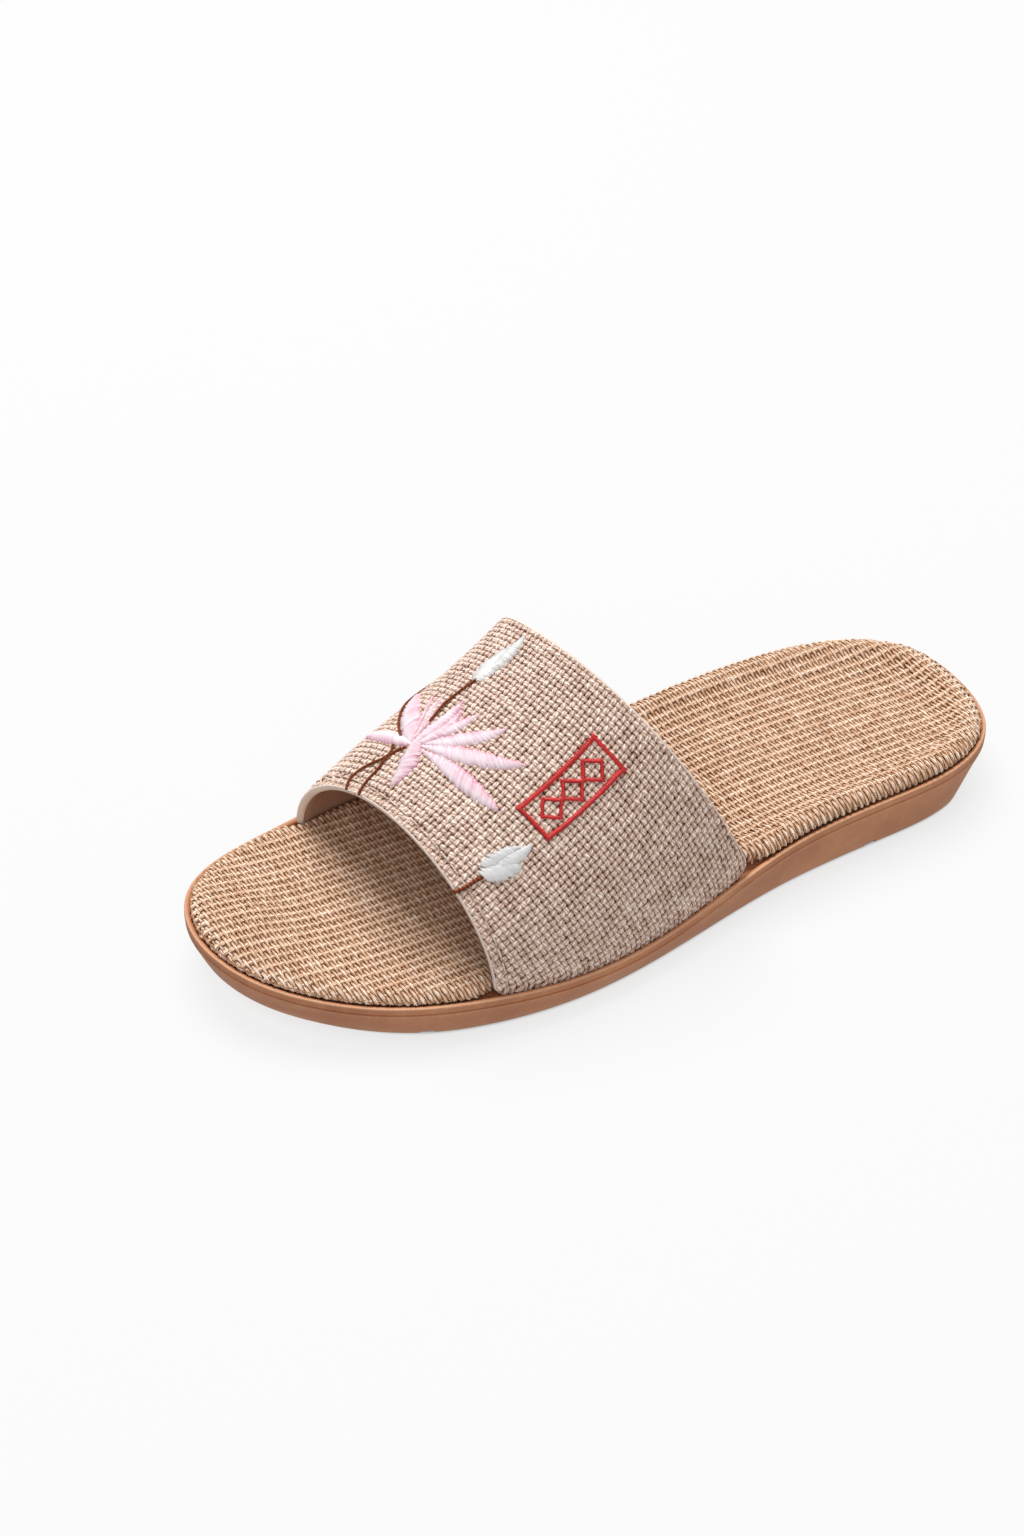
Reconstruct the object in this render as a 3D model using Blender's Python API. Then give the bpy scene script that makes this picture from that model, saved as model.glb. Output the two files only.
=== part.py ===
"""Slide sandal for the left foot: a moulded outsole, a wrapped insole and one wide arched strap.

The sizes and tables are in millimetres: x from the back of the heel towards the toe, y from the
heel-to-toe line towards the wearer's left, which is the lateral side, and z from the floor. The
objects are built in metres, with the origin on the floor under the middle of the shoe.
"""

from typing import NamedTuple

import bmesh
import bpy
import numpy as np
from mathutils import Matrix, Vector

MM = 0.001
GAP = 0.3


class Station(NamedTuple):
    """One cross-section of the shoe, at a distance x from the back of the heel."""

    x: float
    lateral: float
    medial: float
    groove: float
    crest: float
    dish: float


# Plan outline, height of the parting groove, height of the insole's rolled edge over that groove,
# and how far the middle of the insole lies below its edge
STATIONS = (
    Station(x=0.0, lateral=-0.5, medial=-0.5, groove=15.5, crest=6.2, dish=3.2),
    Station(x=6.0, lateral=23.0, medial=-22.0, groove=15.7, crest=6.2, dish=3.3),
    Station(x=22.0, lateral=34.5, medial=-32.5, groove=16.5, crest=6.4, dish=3.5),
    Station(x=50.0, lateral=38.5, medial=-38.0, groove=17.0, crest=6.6, dish=3.6),
    Station(x=90.0, lateral=41.0, medial=-39.0, groove=15.8, crest=6.6, dish=2.8),
    Station(x=130.0, lateral=48.5, medial=-42.5, groove=10.0, crest=6.2, dish=1.8),
    Station(x=165.0, lateral=52.5, medial=-47.0, groove=9.4, crest=5.8, dish=1.2),
    Station(x=195.0, lateral=49.0, medial=-48.0, groove=11.0, crest=5.6, dish=1.0),
    Station(x=220.0, lateral=40.0, medial=-44.0, groove=11.6, crest=5.4, dish=0.9),
    Station(x=240.0, lateral=27.0, medial=-38.0, groove=13.4, crest=5.3, dish=0.8),
    Station(x=253.0, lateral=13.5, medial=-28.0, groove=16.0, crest=5.2, dish=0.8),
    Station(x=260.0, lateral=-7.0, medial=-7.0, groove=18.0, crest=5.2, dish=0.8),
)
LENGTH = STATIONS[-1].x
OUTLINE_POINTS = 104
OUTLINE_SAMPLES = 4000
WRAPPED_KNOTS = 4

# Underside: toe spring, heel lift and the arch on the medial side, flat between them
TOE_SPRING = 7.6
TOE_BREAK = 200.0
HEEL_LIFT = 1.6
HEEL_BREAK = 25.0
ARCH_LIFT = 1.5
ARCH_BACK = 85.0
ARCH_FRONT = 140.0
SIDE_UNDERCUT = 3.0
HEEL_UNDERCUT = 6.5


class WallRing(NamedTuple):
    """One level of the outsole's wall: a share of the undercut and of the wall's height, plus offsets."""

    undercut: float
    inset: float
    rise: float
    above: float


RIM_WIDTH = 2.0
OUTSOLE_RINGS = (
    WallRing(undercut=1.0, inset=1.2, rise=0.0, above=0.0),
    WallRing(undercut=1.0, inset=0.4, rise=0.0, above=0.4),
    WallRing(undercut=1.0, inset=0.0, rise=0.0, above=1.4),
    WallRing(undercut=0.62, inset=0.0, rise=0.35, above=0.6),
    WallRing(undercut=0.25, inset=0.1, rise=0.70, above=0.3),
    WallRing(undercut=0.0, inset=0.6, rise=1.0, above=-0.7),
    WallRing(undercut=0.0, inset=1.4, rise=1.0, above=0.0),
    WallRing(undercut=0.0, inset=0.35, rise=1.0, above=0.4),
    WallRing(undercut=0.0, inset=0.0, rise=1.0, above=1.2),
    WallRing(undercut=0.0, inset=0.45, rise=1.0, above=2.1),
    WallRing(undercut=0.0, inset=1.1, rise=1.0, above=2.5),
    WallRing(undercut=0.0, inset=RIM_WIDTH, rise=1.0, above=2.2),
    WallRing(undercut=0.0, inset=RIM_WIDTH, rise=1.0, above=0.0),
)

# Tread: one groove right across each pad, at step 0, and blind grooves before and behind it
TREAD_WIDTH = 4.0
TREAD_DEPTH = 1.8
TREAD_PITCH = 11.0
TREAD_EDGE = 12.0
HEEL_GROOVE = 56.0
HEEL_STEPS = (-3, -2, -1, 0, 1, 2)
TOE_GROOVE = 211.5
TOE_STEPS = (-6, -5, -4, -3, -2, -1, 0, 1)
ACROSS = 70.0


class PadRing(NamedTuple):
    """One level of the insole: inset from its edge, share of the crest's height, share of the dish."""

    inset: float
    crest: float
    dish: float


INSOLE_RINGS = (
    PadRing(inset=0.7, crest=0.0, dish=0.0),
    PadRing(inset=0.0, crest=0.12, dish=0.0),
    PadRing(inset=0.0, crest=0.55, dish=0.0),
    PadRing(inset=0.8, crest=0.84, dish=0.0),
    PadRing(inset=2.5, crest=0.98, dish=0.0),
    PadRing(inset=4.6, crest=1.0, dish=0.0),
    PadRing(inset=8.0, crest=1.0, dish=0.4),
    PadRing(inset=12.0, crest=1.0, dish=0.82),
    PadRing(inset=17.0, crest=1.0, dish=1.0),
)


class StrapSection(NamedTuple):
    """One arch of the strap: where its feet stand, and the shape of the arch between them."""

    lateral_x: float
    medial_x: float
    height: float
    shift: float
    lean: float
    lateral_power: float
    medial_power: float


# Front edge, middle and rear edge of the strap: its crest shifts towards the medial side and leans
# towards the toe, and each side of an arch is a superellipse of its own power
STRAP_SECTIONS = (
    StrapSection(lateral_x=191.0, medial_x=211.0, height=37.0, shift=1.5, lean=2.0,
                 lateral_power=1.95, medial_power=1.9),
    StrapSection(lateral_x=147.5, medial_x=169.0, height=56.5, shift=-6.5, lean=15.5,
                 lateral_power=2.05, medial_power=2.3),
    StrapSection(lateral_x=104.0, medial_x=126.5, height=71.5, shift=-15.0, lean=29.0,
                 lateral_power=2.15, medial_power=2.75),
)
STRAP_WALL = 2.5
STRAP_FOOT = 1.6
STRAP_SEAT = 0.5
STRAP_ROWS = 19
STRAP_COLUMNS = 45
ARCH_SAMPLES = 721
POCKET_RAMP = 9.0
POCKET_SLACK = 0.4

SMOOTH_ANGLE = 40.0


class Finish(NamedTuple):
    """Colour and roughness of one piece."""

    name: str
    color: tuple
    roughness: float


OUTSOLE_FINISH = Finish("outsole_rubber", (0.352, 0.145, 0.073, 1.0), 0.45)
INSOLE_FINISH = Finish("insole_weave", (0.694, 0.456, 0.254, 1.0), 0.85)
STRAP_FINISH = Finish("strap_linen", (0.584, 0.468, 0.361, 1.0), 0.9)


def natural_spline(knots, values, at):
    """Values at the places `at` on the natural cubic spline through the knots."""
    step = np.diff(knots)
    slope = np.diff(values, axis=0) / step[:, None]
    count = len(knots)
    inner = np.arange(1, count - 1)
    system = np.eye(count)
    system[inner, inner - 1] = step[:-1]
    system[inner, inner] = 2.0 * (step[:-1] + step[1:])
    system[inner, inner + 1] = step[1:]
    bend = np.zeros(np.shape(values))
    bend[1:-1] = 6.0 * np.diff(slope, axis=0)
    second = np.linalg.solve(system, bend)
    cell = np.clip(np.searchsorted(knots, at) - 1, 0, count - 2)
    left = ((knots[cell + 1] - at) / step[cell])[:, None]
    right = 1.0 - left
    bow = (left ** 3 - left) * second[cell] + (right ** 3 - right) * second[cell + 1]
    return left * values[cell] + right * values[cell + 1] + (step[cell] ** 2 / 6.0)[:, None] * bow


def table_curve(name, x):
    """One column of the station table as a smooth curve along the shoe."""
    knots = np.array([row.x for row in STATIONS])
    values = np.array([[getattr(row, name)] for row in STATIONS])
    return natural_spline(knots, values, np.asarray(x, dtype=float))[:, 0]


def smooth_step(value):
    """An even ramp from 0 to 1 that starts and ends level."""
    share = np.clip(value, 0.0, 1.0)
    return share * share * (3.0 - 2.0 * share)


def plan_outline():
    """Points round the shoe, heel first and then the lateral side, with their inward directions."""
    lateral = [(row.x, row.lateral) for row in STATIONS]
    medial = [(row.x, row.medial) for row in STATIONS[-2:0:-1]]
    corners = np.array(lateral + medial)
    wrapped = np.concatenate([corners[-WRAPPED_KNOTS:], corners, corners[:WRAPPED_KNOTS + 1]])
    chords = np.linalg.norm(np.diff(wrapped, axis=0), axis=1)
    knots = np.concatenate([[0.0], np.cumsum(chords)])
    heel = knots[WRAPPED_KNOTS]
    toe = knots[WRAPPED_KNOTS + len(lateral) - 1]
    back = knots[WRAPPED_KNOTS + len(corners)]
    half = OUTLINE_POINTS // 2
    sides = [even_points(wrapped, knots, start, stop, half) for start, stop in ((heel, toe), (toe, back))]
    points = np.concatenate(sides)
    along = np.roll(points, -1, axis=0) - np.roll(points, 1, axis=0)
    inward = np.stack([along[:, 1], -along[:, 0]], axis=1)
    return points, inward / np.linalg.norm(inward, axis=1)[:, None]


def even_points(corners, knots, start, stop, count):
    """Points at even distances on the spline through the corners, the last one left out."""
    places = np.linspace(start, stop, OUTLINE_SAMPLES)
    curve = natural_spline(knots, corners, places)
    length = np.concatenate([[0.0], np.cumsum(np.linalg.norm(np.diff(curve, axis=0), axis=1))])
    wanted = np.linspace(0.0, length[-1], count + 1)[:-1]
    return np.stack([np.interp(wanted, length, curve[:, axis]) for axis in range(2)], axis=1)


OUTLINE, INWARD = plan_outline()
CENTRE = np.array([LENGTH / 2.0, (OUTLINE[:, 1].max() + OUTLINE[:, 1].min()) / 2.0, 0.0])
MEDIAL_SIDE = np.arange(OUTLINE_POINTS) > OUTLINE_POINTS // 2
GROOVE = table_curve("groove", OUTLINE[:, 0])


def underside():
    """Height of the sole's lower edge at each outline point."""
    x = OUTLINE[:, 0]
    toe = TOE_SPRING * np.clip((x - TOE_BREAK) / (LENGTH - TOE_BREAK), 0.0, 1.0) ** 2
    heel = HEEL_LIFT * np.clip((HEEL_BREAK - x) / HEEL_BREAK, 0.0, 1.0) ** 2
    share = np.clip((x - ARCH_BACK) / (ARCH_FRONT - ARCH_BACK), 0.0, 1.0)
    arch = ARCH_LIFT * np.sin(np.pi * share) ** 2 * MEDIAL_SIDE
    return toe + heel + arch


def inset_ring(inset, height):
    """The outline moved inwards by `inset` and lifted to `height`, both given point by point."""
    plan = OUTLINE + INWARD * np.broadcast_to(inset, len(OUTLINE))[:, None]
    return np.column_stack([plan, np.broadcast_to(height, len(OUTLINE))])


def add_object(name, solid):
    """A smooth-shaded mesh object made from the bmesh, with its faces turned outwards."""
    bmesh.ops.recalc_face_normals(solid, faces=solid.faces)
    mesh = bpy.data.meshes.new(name)
    solid.to_mesh(mesh)
    solid.free()
    mesh.shade_smooth()
    mesh.set_sharp_from_angle(angle=np.radians(SMOOTH_ANGLE))
    piece = bpy.data.objects.new(name, mesh)
    bpy.context.scene.collection.objects.link(piece)
    return piece


def add_piece(name, points, faces, finish):
    """A piece of the shoe: points in millimetres moved to the shoe's own origin, in metres."""
    solid = bmesh.new()
    corners = [solid.verts.new(point) for point in (points - CENTRE) * MM]
    for face in faces:
        solid.faces.new([corners[corner] for corner in face])
    piece = add_object(name, solid)
    piece.data.materials.append(principled(finish))
    return piece


def principled(finish):
    """A Principled material with the finish's colour and roughness."""
    material = bpy.data.materials.new(finish.name)
    material.use_nodes = True
    shader = material.node_tree.nodes["Principled BSDF"]
    shader.inputs["Base Color"].default_value = finish.color
    shader.inputs["Roughness"].default_value = finish.roughness
    shader.inputs["Metallic"].default_value = 0.0
    return material


def ring_stack_faces(levels):
    """Faces of a stack of rings, closed at its two ends by rungs from side to side."""
    count = OUTLINE_POINTS
    half = count // 2
    faces = []
    for level in range(levels - 1):
        low = level * count
        high = low + count
        for place in range(count):
            following = (place + 1) % count
            faces.append((low + place, low + following, high + following, high + place))
    for base, order in ((0, -1), ((levels - 1) * count, 1)):
        rungs = [(0, 1, count - 1), (half - 1, half, half + 1)]
        rungs += [(place, place + 1, count - place - 1, count - place) for place in range(1, half - 1)]
        faces += [tuple(base + corner for corner in rung[::order]) for rung in rungs]
    return faces


def outsole_rings():
    """The levels of the outsole, from its lower edge up over the rim and down to the insole's seat."""
    x = OUTLINE[:, 0]
    low = underside()
    tuck = smooth_step((HEEL_BREAK - x) / HEEL_BREAK)
    undercut = SIDE_UNDERCUT + (HEEL_UNDERCUT - SIDE_UNDERCUT) * tuck
    rings = []
    for row in OUTSOLE_RINGS:
        height = low + row.rise * (GROOVE - low) + row.above
        rings.append(inset_ring(row.undercut * undercut + row.inset, height))
    return rings


def tread_cutter():
    """One object that holds every tread groove, as bars across the sole."""
    grooves = [(HEEL_GROOVE + step * TREAD_PITCH, step) for step in HEEL_STEPS]
    grooves += [(TOE_GROOVE + step * TREAD_PITCH, step) for step in TOE_STEPS]
    bars = bmesh.new()
    for x, step in grooves:
        blind = step != 0
        lateral = table_curve("lateral", [x])[0] - TREAD_EDGE if blind else ACROSS
        medial = table_curve("medial", [x])[0] + TREAD_EDGE if blind else -ACROSS
        middle = np.array([x, (lateral + medial) / 2.0, 0.0]) - CENTRE
        size = np.array([TREAD_WIDTH, lateral - medial, 2.0 * TREAD_DEPTH])
        place = Matrix.LocRotScale(Vector(middle * MM), None, Vector(size * MM))
        bmesh.ops.create_cube(bars, size=1.0, matrix=place)
    cutter = add_object("tread_cutter", bars)
    cutter.hide_render = True
    cutter.display_type = "WIRE"
    return cutter


def build_outsole():
    """The moulded sole: undercut wall, parting groove, beaded rim, seat for the insole, and tread."""
    rings = outsole_rings()
    faces = ring_stack_faces(len(rings))
    outsole = add_piece("outsole", np.concatenate(rings), faces, OUTSOLE_FINISH)
    cut = outsole.modifiers.new("tread", "BOOLEAN")
    cut.operation = "DIFFERENCE"
    cut.solver = "EXACT"
    cut.object = tread_cutter()
    return outsole


def strap_pocket():
    """Share of full depth of the insole's pocket for the strap's foot, at each outline point."""
    front = STRAP_SECTIONS[0]
    rear = STRAP_SECTIONS[-1]
    x = OUTLINE[:, 0]
    first = np.where(MEDIAL_SIDE, rear.medial_x, rear.lateral_x)
    last = np.where(MEDIAL_SIDE, front.medial_x, front.lateral_x)
    rise = smooth_step((x - first + POCKET_RAMP) / POCKET_RAMP)
    fall = smooth_step((last + POCKET_RAMP - x) / POCKET_RAMP)
    return rise * fall


def build_insole():
    """The wrapped footbed: a rolled edge, raised round a dished middle, and a pocket for each strap foot."""
    x = OUTLINE[:, 0]
    crest = table_curve("crest", x) - GAP
    dish = table_curve("dish", x)
    edge = RIM_WIDTH + GAP + (STRAP_WALL + GAP + POCKET_SLACK) * strap_pocket()
    base = GROOVE + GAP
    rings = []
    for row in INSOLE_RINGS:
        height = base + row.crest * crest - row.dish * dish
        rings.append(inset_ring(edge + row.inset, height))
    faces = ring_stack_faces(len(rings))
    return add_piece("insole", np.concatenate(rings), faces, INSOLE_FINISH)


def side_place(x, side, inset):
    """Place on the seat line at distance x from the heel, on the lateral (0) or medial (1) side."""
    ring = OUTLINE + INWARD * inset
    half = OUTLINE_POINTS // 2
    stretch = ring[:half + 1] if side == 0 else np.concatenate([ring[half:], ring[:1]])[::-1]
    y = np.interp(x, stretch[:, 0], stretch[:, 1])
    z = float(table_curve("groove", [x])[0])
    return np.array([x, y, z])


def strap_arch(section):
    """Points of one arch of the strap's outer face, from its lateral foot to its medial foot.

    Each half is a superellipse that starts upright at its foot and ends level at the crest, and the
    arch leans towards the toe as it rises.
    """
    inset = RIM_WIDTH + GAP
    lateral = side_place(section.lateral_x, 0, inset)
    medial = side_place(section.medial_x, 1, inset)
    angle = np.linspace(0.0, np.pi, ARCH_SAMPLES)
    power = np.where(angle <= np.pi / 2.0, section.lateral_power, section.medial_power)
    across = np.sign(np.cos(angle)) * np.abs(np.cos(angle)) ** (2.0 / power)
    up = np.abs(np.sin(angle)) ** (2.0 / power)
    crest_y = (lateral[1] + medial[1]) / 2.0 + section.shift
    reach = np.where(across >= 0.0, lateral[1] - crest_y, crest_y - medial[1])
    y = crest_y + reach * across
    share = ((y - medial[1]) / (lateral[1] - medial[1]))[:, None]
    arch = medial + (lateral - medial) * share
    arch[:, 0] += section.lean * up
    arch[:, 1] = y
    arch[:, 2] += STRAP_FOOT + section.height * up
    length = np.concatenate([[0.0], np.cumsum(np.linalg.norm(np.diff(arch, axis=0), axis=1))])
    wanted = np.linspace(0.0, length[-1], STRAP_COLUMNS)
    spaced = np.stack([np.interp(wanted, length, arch[:, axis]) for axis in range(3)], axis=1)
    feet = [foot + np.array([0.0, 0.0, STRAP_SEAT]) for foot in (lateral, medial)]
    return np.concatenate([feet[:1], spaced, feet[1:]])


def build_strap():
    """The upper: one wall of even thickness, open at the toe, at the back and over the insole."""
    share = np.linspace(0.0, 1.0, STRAP_ROWS)
    knots = np.linspace(0.0, 1.0, len(STRAP_SECTIONS))
    sections = natural_spline(knots, np.array(STRAP_SECTIONS), share)
    outer = np.stack([strap_arch(StrapSection(*row)) for row in sections])
    along = np.gradient(outer, axis=0)
    around = np.gradient(outer, axis=1)
    normal = np.cross(along, around)
    normal /= np.linalg.norm(normal, axis=2)[:, :, None]
    crest = STRAP_COLUMNS // 2
    normal *= np.sign(normal[0, crest, 2])
    inner = outer - STRAP_WALL * normal
    floor = table_curve("groove", inner[:, [0, -1], 0].ravel()).reshape(-1, 2) + STRAP_SEAT
    inner[:, [0, -1], 2] = floor
    rows, columns = outer.shape[:2]
    index = np.arange(2 * rows * columns).reshape(2, rows, columns)
    faces = []
    for wall in index:
        corners = (wall[:-1, :-1], wall[1:, :-1], wall[1:, 1:], wall[:-1, 1:])
        faces += np.stack(corners, axis=2).reshape(-1, 4).tolist()
    for line in (np.s_[:, 0, :], np.s_[:, -1, :], np.s_[:, :, 0], np.s_[:, :, -1]):
        outside, inside = index[line]
        faces += np.stack([outside[:-1], outside[1:], inside[1:], inside[:-1]], axis=1).tolist()
    points = np.concatenate([outer.reshape(-1, 3), inner.reshape(-1, 3)])
    return add_piece("strap", points, faces, STRAP_FINISH)


def main():
    """Clear the scene and build the three pieces."""
    for piece in list(bpy.data.objects):
        bpy.data.objects.remove(piece, do_unlink=True)
    build_outsole()
    build_insole()
    build_strap()


main()
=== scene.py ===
"""Looks of the slide sandal for the left foot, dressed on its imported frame.

Sizes and tables are in millimetres: x from the back of the heel towards the toe, y towards the
wearer's left, which is the lateral side, and z from the floor. Meshes are in metres, about the
frame's origin on the floor under the middle of the shoe.
"""

import logging
from dataclasses import dataclass, field
from enum import Enum
from typing import NamedTuple

import bpy
import numpy as np
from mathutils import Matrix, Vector


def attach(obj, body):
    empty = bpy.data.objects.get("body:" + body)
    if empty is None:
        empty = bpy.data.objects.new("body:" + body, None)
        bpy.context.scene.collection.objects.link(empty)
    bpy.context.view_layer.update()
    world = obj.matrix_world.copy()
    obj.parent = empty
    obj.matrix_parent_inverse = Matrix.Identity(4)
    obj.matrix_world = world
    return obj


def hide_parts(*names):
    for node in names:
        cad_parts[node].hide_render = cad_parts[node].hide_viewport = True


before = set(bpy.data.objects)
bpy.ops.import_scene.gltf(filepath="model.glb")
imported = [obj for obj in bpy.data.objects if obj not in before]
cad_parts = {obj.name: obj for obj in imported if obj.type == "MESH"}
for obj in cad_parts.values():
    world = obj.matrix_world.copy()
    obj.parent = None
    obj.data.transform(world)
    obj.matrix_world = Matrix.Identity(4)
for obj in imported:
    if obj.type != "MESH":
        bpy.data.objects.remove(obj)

Array = np.ndarray
Tree = bpy.types.NodeTree
Node = bpy.types.Node
Socket = bpy.types.NodeSocket
Material = bpy.types.Material
Piece = bpy.types.Object
Colour = tuple[float, float, float, float]
Triple = tuple[float, float, float]
Pair = tuple[float, float]
Span = tuple[int, int]
LOG = logging.getLogger("sandal")
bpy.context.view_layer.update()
BODY = "root"
MM = 0.001
GAP = 0.3
CURVE_STEPS = 300
BAKE_MAP = "OFBake"
YARN_MAP = "yarn"
# Bare margins of a strip of the bake map, for satin beds and for yarns
BED_MARGIN = 0.05
YARN_MARGIN = 0.06
# How far past level the upper corners of a yarn reach, in half turns, and the height round the yarn where its
# tint is its own: painted shade below it, down the flanks, and a slight painted highlight above it
YARN_DROP = 0.1
FLANK_SHADE_LEVEL = 0.9
# How much closer the fine noise of a finish is than the coarse
FINER = 8.0


class Slot(Enum):
    """Names of the record's material slots, one for each kind of piece."""

    SOLE = "outsole_rubber"
    FOOTBED = "insole_weave"
    STRAP = "strap_linen"


class Weave(Enum):
    """The two yarn families of a plain weave."""

    LENGTHWISE = 1
    CROSSWISE = -1


class Station(NamedTuple):
    """One cross-section of the shoe, at a distance x from the back of the heel."""

    x: float
    lateral: float
    medial: float
    groove: float
    crest: float
    dish: float


# Plan outline, height of the parting groove, height of the insole's rolled edge over that groove,
# and how far the middle of the insole lies below its edge
STATIONS = (
    Station(0.0, -0.5, -0.5, 15.5, 6.2, 3.2),
    Station(6.0, 23.0, -22.0, 15.7, 6.2, 3.3),
    Station(22.0, 34.5, -32.5, 16.5, 6.4, 3.5),
    Station(50.0, 38.5, -38.0, 17.0, 6.6, 3.6),
    Station(90.0, 41.0, -39.0, 15.8, 6.6, 2.8),
    Station(130.0, 48.5, -42.5, 10.0, 6.2, 1.8),
    Station(165.0, 52.5, -47.0, 9.4, 5.8, 1.2),
    Station(195.0, 49.0, -48.0, 11.0, 5.6, 1.0),
    Station(220.0, 40.0, -44.0, 11.6, 5.4, 0.9),
    Station(240.0, 27.0, -38.0, 13.4, 5.3, 0.8),
    Station(253.0, 13.5, -28.0, 16.0, 5.2, 0.8),
    Station(260.0, -7.0, -7.0, 18.0, 5.2, 0.8),
)
RIM_WIDTH = 2.0


class WallRing(NamedTuple):
    """One level of the sole's wall: shares of undercut and height, offsets, and how pale it is, which on
    edges is a painted highlight.
    """

    undercut: float
    inset: float
    rise: float
    above: float
    worn: float


# Last column: how pale each level is, a painted highlight on the rim's top edge and on the parting groove's
# lips, paler along the bottom edge, and below zero held to the plain body colour in the groove and under the
# cover.
WALL_RINGS = (
    WallRing(1.0, 1.2, 0.0, 0.0, 0.2),
    WallRing(1.0, 0.4, 0.0, 0.4, 0.3),
    WallRing(1.0, 0.0, 0.0, 1.4, 0.1),
    WallRing(0.62, 0.0, 0.35, 0.6, 0.0),
    WallRing(0.25, 0.05, 0.70, 0.3, 0.0),
    WallRing(0.0, 0.1, 1.0, -1.4, 0.0),
    WallRing(0.0, 0.1, 1.0, -0.6, 0.3),
    WallRing(0.0, 0.25, 1.0, -0.36, 0.3),
    WallRing(0.0, 0.95, 1.0, 0.0, -1.2),
    WallRing(0.0, 0.25, 1.0, 0.30, -0.6),
    WallRing(0.0, 0.05, 1.0, 0.5, 0.1),
    WallRing(0.0, 0.05, 1.0, 1.0, 0.0),
    WallRing(0.0, 0.12, 1.0, 2.1, 0.1),
    WallRing(0.0, 0.2, 1.0, 2.45, 0.7),
    WallRing(0.0, 0.5, 1.0, 2.6, 0.6),
    WallRing(0.0, 1.3, 1.0, 2.45, 0.0),
    WallRing(0.0, 1.9, 1.0, 2.1, -0.4),
    WallRing(0.0, RIM_WIDTH, 1.0, 1.2, -0.8),
    WallRing(0.0, RIM_WIDTH, 1.0, 0.0, -1.0),
)


class Groove(NamedTuple):
    """One tread groove: its middle, and whether it runs right across the sole."""

    x: float
    through: bool


TREAD_PITCH = 11.0
TREAD = tuple(Groove(56.0 + step * TREAD_PITCH, step == 0) for step in range(-3, 3))
TREAD += tuple(Groove(211.5 + step * TREAD_PITCH, step == 0) for step in range(-6, 2))


class PadRing(NamedTuple):
    """One level of the insole: inset from its edge, share of the crest's height, share of the dish."""

    inset: float
    crest: float
    dish: float


PAD_RINGS = (
    PadRing(1.1, 0.0, 0.0),
    PadRing(0.9, 0.28, 0.0),
    PadRing(0.45, 0.46, 0.0),
    PadRing(0.05, 0.60, 0.0),
    PadRing(0.15, 0.76, 0.0),
    PadRing(0.9, 0.91, 0.0),
    PadRing(2.5, 0.99, 0.0),
    PadRing(4.6, 1.0, 0.0),
    PadRing(8.0, 1.0, 0.4),
    PadRing(12.0, 1.0, 0.82),
    PadRing(17.0, 1.0, 1.0),
)


class StrapSection(NamedTuple):
    """One arch of the strap: where its feet stand, and the shape of the arch between them."""

    lateral_x: float
    medial_x: float
    height: float
    shift: float
    lean: float
    lateral_power: float
    medial_power: float


# Front edge, middle and rear edge of the strap
STRAP_SECTIONS = (
    StrapSection(191.0, 211.0, 37.0, 1.5, 2.0, 1.95, 1.9),
    StrapSection(147.5, 169.0, 56.5, -6.5, 15.5, 2.05, 2.3),
    StrapSection(104.0, 126.5, 71.5, -15.0, 29.0, 2.15, 2.75),
)
STRAP_WALL = 2.5


def natural_spline(knots: Array, values: Array, at: Array) -> Array:
    """Natural cubic spline through rows of values.

    Args:
        knots: rising places of the rows.
        values: one row for each knot.
        at: places where the spline is wanted.

    Returns:
        One row for each wanted place.
    """
    step = np.diff(knots)
    slope = np.diff(values, axis=0) / step[:, None]
    count = len(knots)
    inner = np.arange(1, count - 1)
    system = np.eye(count)
    system[inner, inner - 1] = step[:-1]
    system[inner, inner] = 2.0 * (step[:-1] + step[1:])
    system[inner, inner + 1] = step[1:]
    bend = np.zeros(np.shape(values))
    bend[1:-1] = 6.0 * np.diff(slope, axis=0)
    second = np.linalg.solve(system, bend)
    cell = np.clip(np.searchsorted(knots, at) - 1, 0, count - 2)
    left = ((knots[cell + 1] - at) / step[cell])[:, None]
    right = 1.0 - left
    bow = (left ** 3 - left) * second[cell] + (right ** 3 - right) * second[cell + 1]
    return left * values[cell] + right * values[cell + 1] + (step[cell] ** 2 / 6.0)[:, None] * bow


def ramp(value: Array, start: float, stop: float) -> Array:
    """Share of the way from start to stop, kept between 0 and 1."""
    return np.clip((value - start) / (stop - start), 0.0, 1.0)


def smooth_step(value: Array) -> Array:
    """An even ramp from 0 to 1 that starts and ends level."""
    share = np.clip(value, 0.0, 1.0)
    return share * share * (3.0 - 2.0 * share)


def unit(vectors: Array) -> Array:
    """Vectors of the last axis brought to length 1."""
    return vectors / np.maximum(np.linalg.norm(vectors, axis=-1, keepdims=True), 1e-9)


def running_length(path: Array) -> Array:
    """Distance along a path from its start to each of its points."""
    return np.concatenate([[0.0], np.cumsum(np.linalg.norm(np.diff(path, axis=0), axis=1))])


def spaced(path: Array, count: int) -> Array:
    """A path's points taken again at even distances."""
    length = running_length(path)
    wanted = np.linspace(0.0, length[-1], count)
    return np.stack([np.interp(wanted, length, column) for column in path.T], axis=1)


def smooth_path(points: Array, step: float) -> Array:
    """A natural spline through given points, over the distances between them, in even steps.

    Args:
        points: the points, row by row.
        step: distance wanted between points of the curve.

    Returns:
        The curve's points.
    """
    corners = np.asarray(points, dtype=float)
    knots = running_length(corners)
    curve = natural_spline(knots, corners, np.linspace(0.0, knots[-1], CURVE_STEPS))
    return spaced(curve, max(4, int(running_length(curve)[-1] / step) + 1))


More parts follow.
